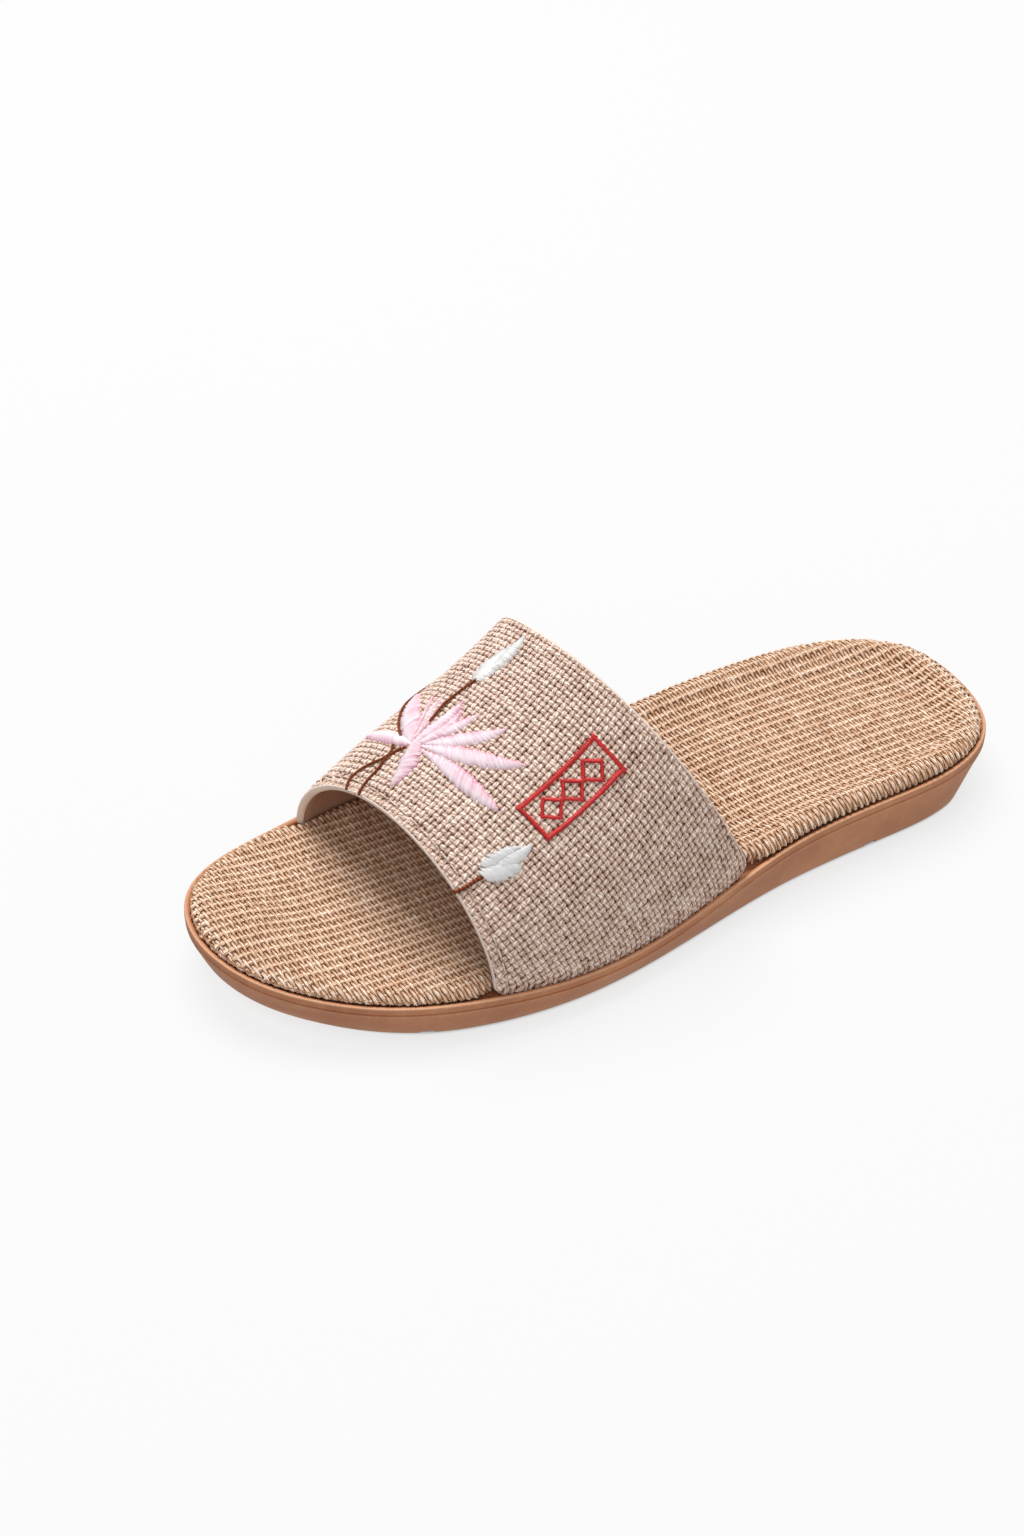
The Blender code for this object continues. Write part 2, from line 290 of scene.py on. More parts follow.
def cut_corners(rows: Array, rounds: int) -> Array:
    """A profile softened by cutting each corner at a quarter of its two edges, a few times over.

    Args:
        rows: the profile's rows.
        rounds: how many times the corners are cut.

    Returns:
        The softened rows, with the first and last as they were.
    """
    for _ in range(rounds):
        near = 0.75 * rows[:-1] + 0.25 * rows[1:]
        far = 0.25 * rows[:-1] + 0.75 * rows[1:]
        middle = np.stack([near, far], axis=1).reshape(-1, rows.shape[1])
        rows = np.concatenate([rows[:1], middle[1:-1], rows[-1:]])
    return rows


def on_grid(grid: Array, row: Array, column: Array) -> Array:
    """Values between the points of a grid, by the four nearest, carried on straight past its edges.

    Args:
        grid: values on rows and columns.
        row: fractional rows.
        column: fractional columns.

    Returns:
        One value for each place.
    """
    top = np.clip(np.floor(row).astype(int), 0, grid.shape[0] - 2)
    left = np.clip(np.floor(column).astype(int), 0, grid.shape[1] - 2)
    down = (row - top)[..., None]
    across = (column - left)[..., None]
    upper = grid[top, left] * (1.0 - across) + grid[top, left + 1] * across
    lower = grid[top + 1, left] * (1.0 - across) + grid[top + 1, left + 1] * across
    return upper * (1.0 - down) + lower * down


def slubs(seed: int, yarns: int, samples: int, reach: int) -> Array:
    """Smooth random swellings along yarns: seeded white noise averaged over a reach of samples.

    Args:
        seed: seed of the noise.
        yarns: how many yarns.
        samples: places along each yarn.
        reach: samples that one swelling covers.

    Returns:
        Yarns by samples, of spread 1.
    """
    noise = np.random.default_rng(seed).standard_normal((yarns, samples + 2 * reach))
    total = np.cumsum(noise, axis=1)
    once = (total[:, reach:] - total[:, :-reach]) / np.sqrt(reach)
    return once[:, :samples]


def linear(code: str) -> Colour:
    """A colour written as #rrggbb, in linear light.

    Args:
        code: the written colour.

    Returns:
        Red, green, blue and full opacity.
    """
    share = np.array([int(code[place:place + 2], 16) for place in (1, 3, 5)]) / 255.0
    light = np.where(share <= 0.04045, share / 12.92, ((share + 0.055) / 1.055) ** 2.4)
    return (*light.tolist(), 1.0)


def grey(level: float) -> Colour:
    """A grey of a level in linear light, which is over 1 where a multiplier brightens."""
    return (level, level, level, 1.0)


def in_strip(lane: Array | int, share: Array | float, lanes: int, margin: float) -> Array | float:
    """Place across the bake map of a share of one strip, which keeps a bare margin on both sides."""
    return (lane + margin + (1.0 - 2.0 * margin) * share) / lanes


@dataclass
class Shell:
    """A mesh in the making: points in millimetres, faces by corner count, corner maps, point values."""

    points: Array
    faces: list[Array]
    maps: dict[str, list[Array]] = field(default_factory=dict)
    values: dict[str, Array] = field(default_factory=dict)

    @staticmethod
    def joined(shells: list["Shell"]) -> "Shell":
        """One shell that holds several with the same maps and values.

        Args:
            shells: the shells.

        Returns:
            The joined shell.
        """
        starts = np.cumsum([0] + [len(shell.points) for shell in shells])
        faces = [part + start for shell, start in zip(shells, starts) for part in shell.faces]
        maps = {name: [part for shell in shells for part in shell.maps[name]] for name in shells[0].maps}
        values = {name: np.concatenate([shell.values[name] for shell in shells]) for name in shells[0].values}
        return Shell(np.concatenate([shell.points for shell in shells]), faces, maps, values)

    def outward(self) -> "Shell":
        """The closed shell with its faces outwards: they are turned if it encloses a negative volume.

        Returns:
            This shell, or one with its faces and maps turned.
        """
        volume = 0.0
        for part in self.faces:
            corner = self.points[part]
            for place in range(1, part.shape[1] - 1):
                normal = np.cross(corner[:, place] - corner[:, 0], corner[:, place + 1] - corner[:, 0])
                volume += float(np.sum((corner[:, 0] - self.points[0]) * normal))
        if volume >= 0.0:
            return self
        faces = [part[:, ::-1] for part in self.faces]
        maps = {name: [part[:, ::-1] for part in parts] for name, parts in self.maps.items()}
        return Shell(self.points, faces, maps, self.values)


def grid_quads(index: Array, closed: bool) -> Array:
    """Quads between neighbours of an index grid.

    Args:
        index: point numbers on rows and columns.
        closed: whether the last column joins the first.

    Returns:
        Four point numbers for each quad.
    """
    right = np.roll(index, -1, axis=1)
    corners = np.stack([index[:-1], right[:-1], right[1:], index[1:]], axis=2)
    return (corners if closed else corners[:, :-1]).reshape(-1, 4)


def swept(rings: Array, lane: int, lanes: int, values: dict[str, Array]) -> Shell:
    """A closed skin over rings of points carried along a path, with a cap at each end.

    Args:
        rings: points on path steps and places round the ring.
        lane: which strip of the bake map it takes.
        lanes: how many strips there are.
        values: named values on the same grid.

    Returns:
        The shell, with its strip of the bake map.
    """
    steps, sides = rings.shape[:2]
    index = np.arange(steps * sides).reshape(steps, sides)
    quads = grid_quads(index, closed=True)
    along = np.repeat(np.arange(steps - 1), sides)
    around = np.tile(np.arange(sides), steps - 1)
    u = np.stack([along, along, along + 1, along + 1], axis=1) / (steps - 1)
    v = np.stack([around, around + 1, around + 1, around], axis=1) / sides
    strip = np.stack([u, in_strip(lane, v, lanes, BED_MARGIN)], axis=2)
    caps = np.stack([index[0, ::-1], index[-1]])
    ends = np.stack([np.zeros(sides), np.ones(sides)])
    blank = np.stack([ends, np.full(ends.shape, in_strip(lane, 0.0, lanes, BED_MARGIN))], axis=2)
    flat = {name: value.ravel() for name, value in values.items()}
    return Shell(rings.reshape(-1, 3), [quads, caps], {BAKE_MAP: [strip, blank]}, flat)


def slab(outer: Array, inner: Array) -> Shell:
    """A closed wall between two grids of points, with strips round its four edges.

    Args:
        outer: points of one face, on rows and columns.
        inner: points of the other face, on the same grid.

    Returns:
        The shell, with its faces outwards.
    """
    rows, columns = outer.shape[:2]
    index = np.arange(2 * rows * columns).reshape(2, rows, columns)
    top = grid_quads(index[0], closed=False)
    under = grid_quads(index[1], closed=False)[:, ::-1]
    loop = [np.concatenate([i[0], i[1:, -1], i[-1, -2::-1], i[-2:0:-1, 0]]) for i in index]
    ring = np.stack([np.append(line, line[0]) for line in loop[::-1]])
    edge = grid_quads(ring, closed=False)
    points = np.concatenate([outer.reshape(-1, 3), inner.reshape(-1, 3)])
    return Shell(points, [top, under, edge]).outward()


@dataclass
class YarnPaths:
    """Many yarns at once, as arrays of yarns by samples."""

    centre: Array
    up: Array
    half_width: Array
    half_height: Array
    valid: Array
    along: Array
    tint: Array

    def shell(self, sides: int, flank_shade: float) -> Shell:
        """Closed tubes: an ellipse, wide across the yarn and thin along `up`, carried along each yarn.

        One corner of the ellipse lies underneath, and the others are spread over the part that shows. The
        tint is painted shade down the flanks, where neighbouring yarns meet, and a slight painted highlight
        on the top.

        Args:
            sides: corners of the ellipse.
            flank_shade: how much deeper the tint is down the yarn's flanks than on its top.

        Returns:
            The tubes, with a map of the yarn (share round it, millimetres along it) and a bake map
            in which each yarn has a strip of its own.
        """
        inside = self.valid & (np.roll(self.valid, 1, axis=1) | np.roll(self.valid, -1, axis=1))
        path = unit(np.gradient(self.centre, axis=1))
        side = unit(np.cross(self.up, path))
        turn = np.append(np.linspace(-YARN_DROP, 1.0 + YARN_DROP, sides - 1), 1.5) * np.pi
        wide = (self.half_width[inside][:, None] * np.cos(turn))[..., None]
        high = (self.half_height[inside][:, None] * np.sin(turn))[..., None]
        ring = self.centre[inside][:, None] + side[inside][:, None] * wide + self.up[inside][:, None] * high
        order = np.cumsum(inside).reshape(inside.shape) - 1
        pair = inside[:, :-1] & inside[:, 1:]
        yarn, step = np.nonzero(pair)
        here = order[:, :-1][pair][:, None] * sides
        there = order[:, 1:][pair][:, None] * sides
        near = np.arange(sides)[None]
        far = (near + 1) % sides
        quads = np.stack([here + near, here + far, there + far, there + near], axis=2)
        share = (np.append(turn, turn[0] + 2.0 * np.pi) - turn[0]) / (2.0 * np.pi)
        round_share = np.stack([share[:-1], share[1:], share[1:], share[:-1]], axis=1)[None]
        round_share = np.broadcast_to(round_share, quads.shape)
        place = self.along[step][:, None]
        after = self.along[step + 1][:, None]
        run = np.stack([place, place, after, after], axis=2)
        run = np.broadcast_to(run, quads.shape)
        reach = np.ptp(self.along)
        strip_u = (run - self.along.min()) / reach
        strip_v = in_strip(yarn[:, None, None], round_share, len(self.centre), YARN_MARGIN)
        first = inside & ~np.pad(inside, ((0, 0), (1, 0)))[:, :-1]
        last = inside & ~np.pad(inside, ((0, 0), (0, 1)))[:, 1:]
        ends = [order[first][:, None] * sides + near[:, ::-1], order[last][:, None] * sides + near]
        caps = np.concatenate(ends)
        blank = np.zeros((len(caps), sides, 2))
        maps = {
            YARN_MAP: [np.stack([round_share, run], axis=3).reshape(-1, 4, 2), blank],
            BAKE_MAP: [np.stack([strip_u, strip_v], axis=3).reshape(-1, 4, 2), blank],
        }
        # Painted shade: the tint falls down the yarn's flanks, where neighbouring yarns meet, and rises
        # slightly on its top as a painted highlight.
        tint = self.tint[inside][:, None] + flank_shade * (np.sin(turn) - FLANK_SHADE_LEVEL)
        return Shell(ring.reshape(-1, 3), [quads.reshape(-1, 4), caps], maps, {"tint": tint.ravel()})


def stand(name: str, data: bpy.types.ID) -> Piece:
    """A new object with its data, put into the scene."""
    made = bpy.data.objects.new(name, data)
    bpy.context.scene.collection.objects.link(made)
    return made


def set_value(mesh: bpy.types.Mesh, name: str, value: Array) -> None:
    """Give a mesh one number for each of its points."""
    mesh.attributes.new(name, "FLOAT", "POINT").data.foreach_set("value", value.astype(np.float32))


@dataclass
class Last:
    """Plan outline and heights of the shoe, which every piece is worked out from.

    Both sides of the outline come from one closed spline through the stations. Rungs cross the shoe
    at distances x = L/2 (1 - cos t), which crowd towards heel and toe, and in pairs at the tread's
    edges, so that grooves have straight walls.
    """

    rungs: int = 250
    samples: int = 4000
    toe_spring: float = 7.6
    toe_break: float = 200.0
    heel_lift: float = 1.6
    heel_break: float = 25.0
    arch_lift: float = 1.5
    arch_back: float = 85.0
    arch_front: float = 140.0
    pocket_ramp: float = 9.0
    pocket_slack: float = 0.4
    tread_width: float = 4.0
    tread_wall: float = 0.2

    def __post_init__(self) -> None:
        """Trace the outline, and lay the rungs on it."""
        self.length = STATIONS[-1].x
        self.traces = self.traced_sides()
        spread = np.concatenate([trace[:, 1] for trace in self.traces])
        self.centre = np.array([self.length / 2.0, (spread.max() + spread.min()) / 2.0, 0.0])
        turn = np.linspace(0.0, np.pi, self.rungs)
        even = self.length / 2.0 * (1.0 - np.cos(turn))
        half = self.tread_width / 2.0
        marks = np.array([groove.x + edge for groove in TREAD for edge in (-half, half)])
        apart = np.abs(even[:, None] - marks[None]).min(axis=1) > 2.0 * self.tread_wall
        pairs = np.concatenate([marks - self.tread_wall / 2.0, marks + self.tread_wall / 2.0])
        self.rung_x = np.sort(np.concatenate([even[apart], pairs]))
        lateral, lateral_in = self.side(self.rung_x, 0)
        medial, medial_in = self.side(self.rung_x, 1)
        self.plan = np.concatenate([lateral, medial[-2:0:-1]])
        self.inward = np.concatenate([lateral_in, medial_in[-2:0:-1]])
        self.x = self.plan[:, 0]
        self.half = len(self.rung_x) - 1
        self.on_medial = np.arange(len(self.plan)) > self.half

    def traced_sides(self) -> list[Array]:
        """Dense points of the lateral and the medial side, each from heel to toe, with inward normals.

        Returns:
            Rows of x, y and the normal, for each side.
        """
        lateral = [(row.x, row.lateral) for row in STATIONS]
        medial = [(row.x, row.medial) for row in STATIONS[-2:0:-1]]
        corners = np.array(lateral + medial)
        wrap = 4
        wrapped = np.concatenate([corners[-wrap:], corners, corners[:wrap + 1]])
        knots = running_length(wrapped)
        heel, toe, back = knots[[wrap, wrap + len(lateral) - 1, wrap + len(corners)]]
        sides = []
        for start, turn in ((heel, 1.0), (back, -1.0)):
            trace = natural_spline(knots, wrapped, np.linspace(start, toe, self.samples))
            trace[:, 0] = np.maximum.accumulate(np.clip(trace[:, 0], 0.0, self.length))
            path = np.gradient(trace, axis=0)
            sides.append(np.column_stack([trace, unit(np.stack([path[:, 1], -path[:, 0]], axis=1) * turn)]))
        return sides

    def side(self, x: Array, which: int) -> tuple[Array, Array]:
        """Plan points and inward normals on one side.

        Args:
            x: distances from the back of the heel.
            which: 0 for the lateral side, 1 for the medial.

        Returns:
            The points and the normals.
        """
        trace = self.traces[which]
        columns = [np.interp(x, trace[:, 0], column) for column in trace.T[1:]]
        return np.stack([x, columns[0]], axis=1), unit(np.stack(columns[1:], axis=1))

    def curve(self, name: str, x: Array) -> Array:
        """One column of the station table as a smooth curve along the shoe."""
        knots = np.array([row.x for row in STATIONS])
        values = np.array([[getattr(row, name)] for row in STATIONS])
        return natural_spline(knots, values, np.asarray(x, dtype=float))[:, 0]

    def underside(self) -> Array:
        """Height of the sole's lower edge at each outline point: toe spring, heel lift and arch.

        Returns:
            The heights.
        """
        toe = self.toe_spring * ramp(self.x, self.toe_break, self.length) ** 2
        heel = self.heel_lift * ramp(self.x, self.heel_break, 0.0) ** 2
        share = ramp(self.x, self.arch_back, self.arch_front)
        return toe + heel + self.arch_lift * np.sin(np.pi * share) ** 2 * self.on_medial

    def pocket(self) -> Array:
        """Share of full depth of the insole's pocket for the strap's foot, at each outline point.

        Returns:
            The shares.
        """
        front = STRAP_SECTIONS[0]
        rear = STRAP_SECTIONS[-1]
        first = np.where(self.on_medial, rear.medial_x, rear.lateral_x)
        last = np.where(self.on_medial, front.medial_x, front.lateral_x)
        rise = smooth_step((self.x - first + self.pocket_ramp) / self.pocket_ramp)
        return rise * smooth_step((last + self.pocket_ramp - self.x) / self.pocket_ramp)

    def ring(self, inset: Array | float, height: Array | float) -> Array:
        """The outline moved inwards by `inset` and lifted to `height`."""
        count = len(self.plan)
        plan = self.plan + self.inward * np.broadcast_to(inset, count)[:, None]
        return np.column_stack([plan, np.broadcast_to(height, count)])

    def rung_quads(self, index: Array) -> list[Array]:
        """Faces that close a ring with rungs from side to side: quads, and a triangle at each tip.

        Args:
            index: the ring's point numbers.

        Returns:
            The quads and the triangles.
        """
        place = np.arange(1, self.half - 1)
        quads = np.stack([index[place], index[place + 1], index[-place - 1], index[-place]], axis=1)
        tips = np.array([[index[0], index[1], index[-1]],
                         [index[self.half - 1], index[self.half], index[self.half + 1]]])
        return [quads, tips]

    def add(self, name: str, shell: Shell, finish: Material, slot: Slot) -> Piece:
        """Put a shell into the scene as a smooth piece that rides on the shoe.

        Args:
            name: the piece's name.
            shell: its mesh in millimetres.
            finish: its material.
            slot: not used.

        Returns:
            The piece's object.
        """
        counts = np.concatenate([np.full(len(part), part.shape[1]) for part in shell.faces])
        corners = np.concatenate([part.ravel() for part in shell.faces]).astype(np.int32)
        mesh = bpy.data.meshes.new(name)
        mesh.vertices.add(len(shell.points))
        mesh.vertices.foreach_set("co", ((shell.points - self.centre) * MM).astype(np.float32).ravel())
        mesh.loops.add(len(corners))
        mesh.loops.foreach_set("vertex_index", corners)
        mesh.polygons.add(len(counts))
        mesh.polygons.foreach_set("loop_start", (np.cumsum(counts) - counts).astype(np.int32))
        mesh.update(calc_edges=True)
        mesh.shade_smooth()
        for key, parts in shell.maps.items():
            flat = np.concatenate([part.reshape(-1, 2) for part in parts]).astype(np.float32)
            mesh.uv_layers.new(name=key).uv.foreach_set("vector", flat.ravel())
        for key, value in shell.values.items():
            set_value(mesh, key, value)
        mesh.materials.append(finish)
        piece = stand(name, mesh)
        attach(piece, BODY)
        LOG.info("%s: %d triangles", name, int(np.sum(counts - 2)))
        return piece


def feed(tree: Tree, taker: Node, inputs: dict) -> None:
    """Give a node its inputs: sockets are linked, and anything else is set on the input itself.

    Args:
        tree: the node tree.
        taker: the node.
        inputs: value or socket for each input, by name or number.
    """
    for key, value in inputs.items():
        if isinstance(value, Socket):
            tree.links.new(value, taker.inputs[key])
        else:
            taker.inputs[key].default_value = value


def node(tree: Tree, kind: str, inputs: dict, **settings: object) -> Node:
    """Add a node to a tree.

    Args:
        tree: the node tree.
        kind: the node's type.
        inputs: value or socket for each input, by name or number.
        settings: properties of the node.

    Returns:
        The node.
    """
    made = tree.nodes.new(kind)
    for name, value in settings.items():
        setattr(made, name, value)
    feed(tree, made, inputs)
    return made


def reckoned(tree: Tree, operation: str, *values: Socket | float, clamp: bool = False) -> Socket:
    """The result of a math node on its values."""
    made = node(tree, "ShaderNodeMath", dict(enumerate(values)), operation=operation, use_clamp=clamp)
    return made.outputs[0]


def sum_of(tree: Tree, first: Socket, times: float, second: Socket | float) -> Socket:
    """first * times + second, kept between 0 and 1."""
    return reckoned(tree, "MULTIPLY_ADD", first, times, second, clamp=True)


def colour_mix(tree: Tree, share: Socket, low: Socket | Colour, high: Socket | Colour) -> Socket:
    """The colour between two, each a constant or a socket, at a share."""
    return node(tree, "ShaderNodeMix", {0: share, 6: low, 7: high}, data_type="RGBA").outputs[2]


def multiplied(tree: Tree, colour: Socket, by: Socket) -> Socket:
    """One colour times another."""
    made = node(tree, "ShaderNodeMix", {0: 1.0, 6: colour, 7: by}, data_type="RGBA", blend_type="MULTIPLY")
    return made.outputs[2]


def point_value(tree: Tree, name: str) -> Socket:
    """A value that the mesh holds at its points."""
    return node(tree, "ShaderNodeAttribute", {}, attribute_name=name).outputs["Fac"]


def bumped(tree: Tree, strength: float, distance: float, height: Socket) -> Socket:
    """The normal of a surface raised by a height, over a distance in metres."""
    inputs = {"Strength": strength, "Distance": distance, "Height": height}
    return node(tree, "ShaderNodeBump", inputs).outputs[0]


def placed(tree: Tree, group: Tree, **inputs: float) -> Node:
    """A group put into a material, with its inputs set."""
    return node(tree, "ShaderNodeGroup", inputs, node_tree=group)


def patchy_tint(tree: Tree, cloud: Node, patches: float) -> Socket:
    """The mesh's tint, made uneven by the coarse mottle."""
    tint = sum_of(tree, point_value(tree, "tint"), 1.0, -patches / 2.0)
    return sum_of(tree, cloud.outputs["Coarse"], patches, tint)


def blank_material(name: str) -> tuple[Material, Tree, Node]:
    """A new material, its node tree and its Principled shader."""
    material = bpy.data.materials.new(name)
    material.use_nodes = True
    return material, material.node_tree, material.node_tree.nodes["Principled BSDF"]


def new_group(name: str, takes: dict[str, float], gives: list[str]) -> tuple[Tree, dict, dict]:
    """Start a shader node group of plain numbers.

    Args:
        name: the group's name.
        takes: its inputs, with their default values.
        gives: its outputs.

    Returns:
        The group, the sockets of its inputs and those that its outputs are linked to.
    """
    group = bpy.data.node_groups.new(name, "ShaderNodeTree")
    for key, value in takes.items():
        group.interface.new_socket(key, in_out="INPUT", socket_type="NodeSocketFloat").default_value = value
    for key in gives:
        group.interface.new_socket(key, in_out="OUTPUT", socket_type="NodeSocketFloat")
    start = group.nodes.new("NodeGroupInput")
    end = group.nodes.new("NodeGroupOutput")
    return group, {key: start.outputs[key] for key in takes}, {key: end.inputs[key] for key in gives}


class Effects:
    """Shader node groups that several finishes share, each built once."""

    def __init__(self) -> None:
        """Build the groups."""
        self.mottle = self.build_mottle()
        self.twist = self.build_twist()

    def build_mottle(self) -> Tree:
        """Cloudy variation in the piece's own coordinates: coarse noise, and fine noise that is closer.

        Returns:
            The group.
        """
        group, takes, gives = new_group("mottle", {"Scale": 100.0}, ["Coarse", "Fine"])
        place = node(group, "ShaderNodeTexCoord", {}).outputs["Object"]
        closer = reckoned(group, "MULTIPLY", takes["Scale"], FINER)
        for key, scale, detail in (("Coarse", takes["Scale"], 3.0), ("Fine", closer, 2.0)):
            noise = node(group, "ShaderNodeTexNoise", {"Vector": place, "Scale": scale, "Detail": detail})
            group.links.new(noise.outputs["Fac"], gives[key])
        return group

    def build_twist(self) -> Tree:
        """Fibres wound round a yarn: a sine over turns of the share round it plus the length along it.

        Returns:
            The group.
        """
        group, takes, gives = new_group("twist", {"Strands": 3.0, "Turns": 0.5}, ["Height"])
        yarn_map = node(group, "ShaderNodeUVMap", {}, uv_map=YARN_MAP)
        parts = node(group, "ShaderNodeSeparateXYZ", {0: yarn_map.outputs["UV"]})
        wound = reckoned(group, "MULTIPLY", parts.outputs["X"], takes["Strands"])
        run = reckoned(group, "MULTIPLY_ADD", parts.outputs["Y"], takes["Turns"], wound)
        wave = reckoned(group, "SINE", reckoned(group, "MULTIPLY", run, 2.0 * np.pi))
        group.links.new(reckoned(group, "MULTIPLY_ADD", wave, 0.5, 0.5), gives["Height"])
        return group


@dataclass(frozen=True)
class YarnFinish:
    """Spun yarn: darker where its tint is low, mottled, with fibres wound round it, painted darker in their
    furrows and lighter on their tops.
    """

    name: str
    deep: str
    middle: str
    bright: str
    strands: float
    turns: float
    relief: float
    roughness: float = 0.85
    mottle: float = 300.0
    patches: float = 0.5
    fleck_share: float = 0.7
    wound_share: float = 0.75
    streak_floor: float = -0.22
    furrow_shade: Colour = (0.46, 0.38, 0.33, 1.0)
    fibre_highlight: Colour = grey(1.38)
    wound_height: float = 0.6
    bump_depth: float = 0.0003
    gloss: float = 0.15

    def make(self, effects: Effects) -> Material:
        """The material: three colours by tint and mottle, times streaks of painted shade and highlight over
        the wound fibres, and a bump from those fibres.

        Args:
            effects: the shared node groups.

        Returns:
            The material.
        """
        material, tree, shader = blank_material(self.name)
        cloud = placed(tree, effects.mottle, Scale=self.mottle)
        fine = cloud.outputs["Fine"]
        wound = placed(tree, effects.twist, Strands=self.strands, Turns=self.turns).outputs["Height"]
        colours = node(tree, "ShaderNodeValToRGB", {0: patchy_tint(tree, cloud, self.patches)})
        stops = colours.color_ramp.elements
        stops[0].color = linear(self.deep)
        stops[1].color = linear(self.bright)
        stops.new(0.5).color = linear(self.middle)
        # Painted shade in the furrows between the wound fibres and painted highlight on their tops, mixed
        # with random flecks of the fine mottle.
        winding = sum_of(tree, wound, self.wound_share, self.streak_floor)
        streak = sum_of(tree, fine, self.fleck_share, winding)
        streaked = colour_mix(tree, streak, self.furrow_shade, self.fibre_highlight)
        nap = sum_of(tree, fine, 1.0 - self.wound_height, 0.0)
        height = sum_of(tree, wound, self.wound_height, nap)
        feed(tree, shader, {
            "Base Color": multiplied(tree, colours.outputs[0], streaked),
            "Normal": bumped(tree, self.relief, self.bump_depth, height),
            "Roughness": self.roughness,
            "Specular IOR Level": self.gloss,
        })
        return material


@dataclass(frozen=True)
class SatinFinish:
    """Embroidery floss: two colours by tint, slightly mottled, with a silky gloss."""

    name: str
    deep: str
    bright: str
    roughness: float = 0.42
    uneven: float = 0.2
    mottle: float = 400.0
    patches: float = 0.4
    relief: float = 0.15
    bump_depth: float = 0.0001
    gloss: float = 0.5

    def make(self, effects: Effects) -> Material:
        """The material: colour by tint with slight mottle, roughness varied, fine bump.

        Args:
            effects: the shared node groups.

        Returns:
            The material.
        """
        material, tree, shader = blank_material(self.name)
        cloud = placed(tree, effects.mottle, Scale=self.mottle)
        fine = cloud.outputs["Fine"]
        tint = patchy_tint(tree, cloud, self.patches)
        feed(tree, shader, {
            "Base Color": colour_mix(tree, tint, linear(self.deep), linear(self.bright)),
            "Roughness": sum_of(tree, fine, self.uneven, self.roughness - self.uneven / 2.0),
            "Normal": bumped(tree, self.relief, self.bump_depth, fine),
            "Specular IOR Level": self.gloss,
        })
        return material


@dataclass(frozen=True)
class RubberFinish:
    """Moulded rubber: mottled brown, paler along edges as a painted highlight and along the bottom edge,
    satin, with scuffs and fine pitting.
    """

    name: str
    shade: str
    body: str
    worn: str
    mottle: float = 45.0
    grain: float = 350.0
    blotch: float = 1.6
    highlight_and_wear_strength: float = 0.75
    wear_mottle: float = 0.5
    scuff_scale: Triple = (30.0, 30.0, 260.0)
    scuff_from: float = 0.63
    scuff_to: float = 0.72
    scuff: float = 0.35
    pit: Colour = (0.78, 0.76, 0.74, 1.0)
    speck: Colour = grey(1.22)
    smoothest: float = 0.33
    uneven: float = 0.3
    relief: float = 0.25
    bump_depth: float = 0.0003
    gloss: float = 0.25

    def make(self, effects: Effects) -> Material:
        """The material: body colour by mottle, paler by the point value of painted edge highlight and of the
        bottom edge, and in scuffs, and a pitted bump.

        Args:
            effects: the shared node groups.

        Returns:
            The material.
        """
        material, tree, shader = blank_material(self.name)
        cloud = placed(tree, effects.mottle, Scale=self.mottle)
        grain = placed(tree, effects.mottle, Scale=self.grain)
        fine = cloud.outputs["Fine"]
        pale = linear(self.worn)
        blotch = sum_of(tree, cloud.outputs["Coarse"], self.blotch, (1.0 - self.blotch) / 2.0)
        body = colour_mix(tree, blotch, linear(self.shade), linear(self.body))
        uneven = sum_of(tree, fine, self.wear_mottle, -self.wear_mottle / 2.0)
        # Painted highlight on the wall's edges, and paleness along its bottom edge and on the tread, from the
        # mesh's point value.
        highlighted_and_worn = colour_mix(tree, sum_of(tree, point_value(tree, "worn"), self.highlight_and_wear_strength, uneven), body, pale)
        place = node(tree, "ShaderNodeTexCoord", {}).outputs["Object"]
        drawn = node(tree, "ShaderNodeMapping", {"Vector": place, "Scale": self.scuff_scale}).outputs[0]
        lines = node(tree, "ShaderNodeTexNoise", {"Vector": drawn, "Scale": 1.0, "Detail": 4.0})
        limits = {1: self.scuff_from, 2: self.scuff_to, 3: 0.0, 4: self.scuff}
        scuff = node(tree, "ShaderNodeMapRange", {0: lines.outputs["Fac"], **limits}).outputs[0]
        scuffed = colour_mix(tree, scuff, highlighted_and_worn, pale)
        specks = colour_mix(tree, grain.outputs["Fine"], self.pit, self.speck)
        height = sum_of(tree, grain.outputs["Fine"], 0.5, sum_of(tree, grain.outputs["Coarse"], 0.5, 0.0))
        feed(tree, shader, {
            "Base Color": multiplied(tree, scuffed, specks),
            "Roughness": sum_of(tree, fine, self.uneven, self.smoothest),
            "Normal": bumped(tree, self.relief, self.bump_depth, height),
            "Specular IOR Level": self.gloss,
        })
        return material


@dataclass(frozen=True)
class ClothFinish:
    """Plain backing cloth or foam: two colours by mottle, a third by tint, matt, with a fine nap."""

    name: str
    deep: str
    bright: str
    edge: str
    nap: float = 900.0
    patches: float = 0.6
    relief: float = 0.3
    bump_depth: float = 0.0002
    roughness: float = 0.9
    gloss: float = 0.2

    def make(self, effects: Effects) -> Material:
        """The material: colour by mottle, the edge colour where the tint is high, and a fine bump.

        Args:
            effects: the shared node groups.

        Returns:
            The material.
        """
        material, tree, shader = blank_material(self.name)
        cloud = placed(tree, effects.mottle, Scale=self.nap / FINER)
        fine = cloud.outputs["Fine"]
        flecks = sum_of(tree, fine, self.patches, 0.5 - self.patches)
        share = sum_of(tree, cloud.outputs["Coarse"], self.patches, flecks)
        body = colour_mix(tree, share, linear(self.deep), linear(self.bright))
        feed(tree, shader, {
            "Base Color": colour_mix(tree, point_value(tree, "tint"), body, linear(self.edge)),
            "Normal": bumped(tree, self.relief, self.bump_depth, fine),
            "Roughness": self.roughness,
            "Specular IOR Level": self.gloss,
        })
        return material


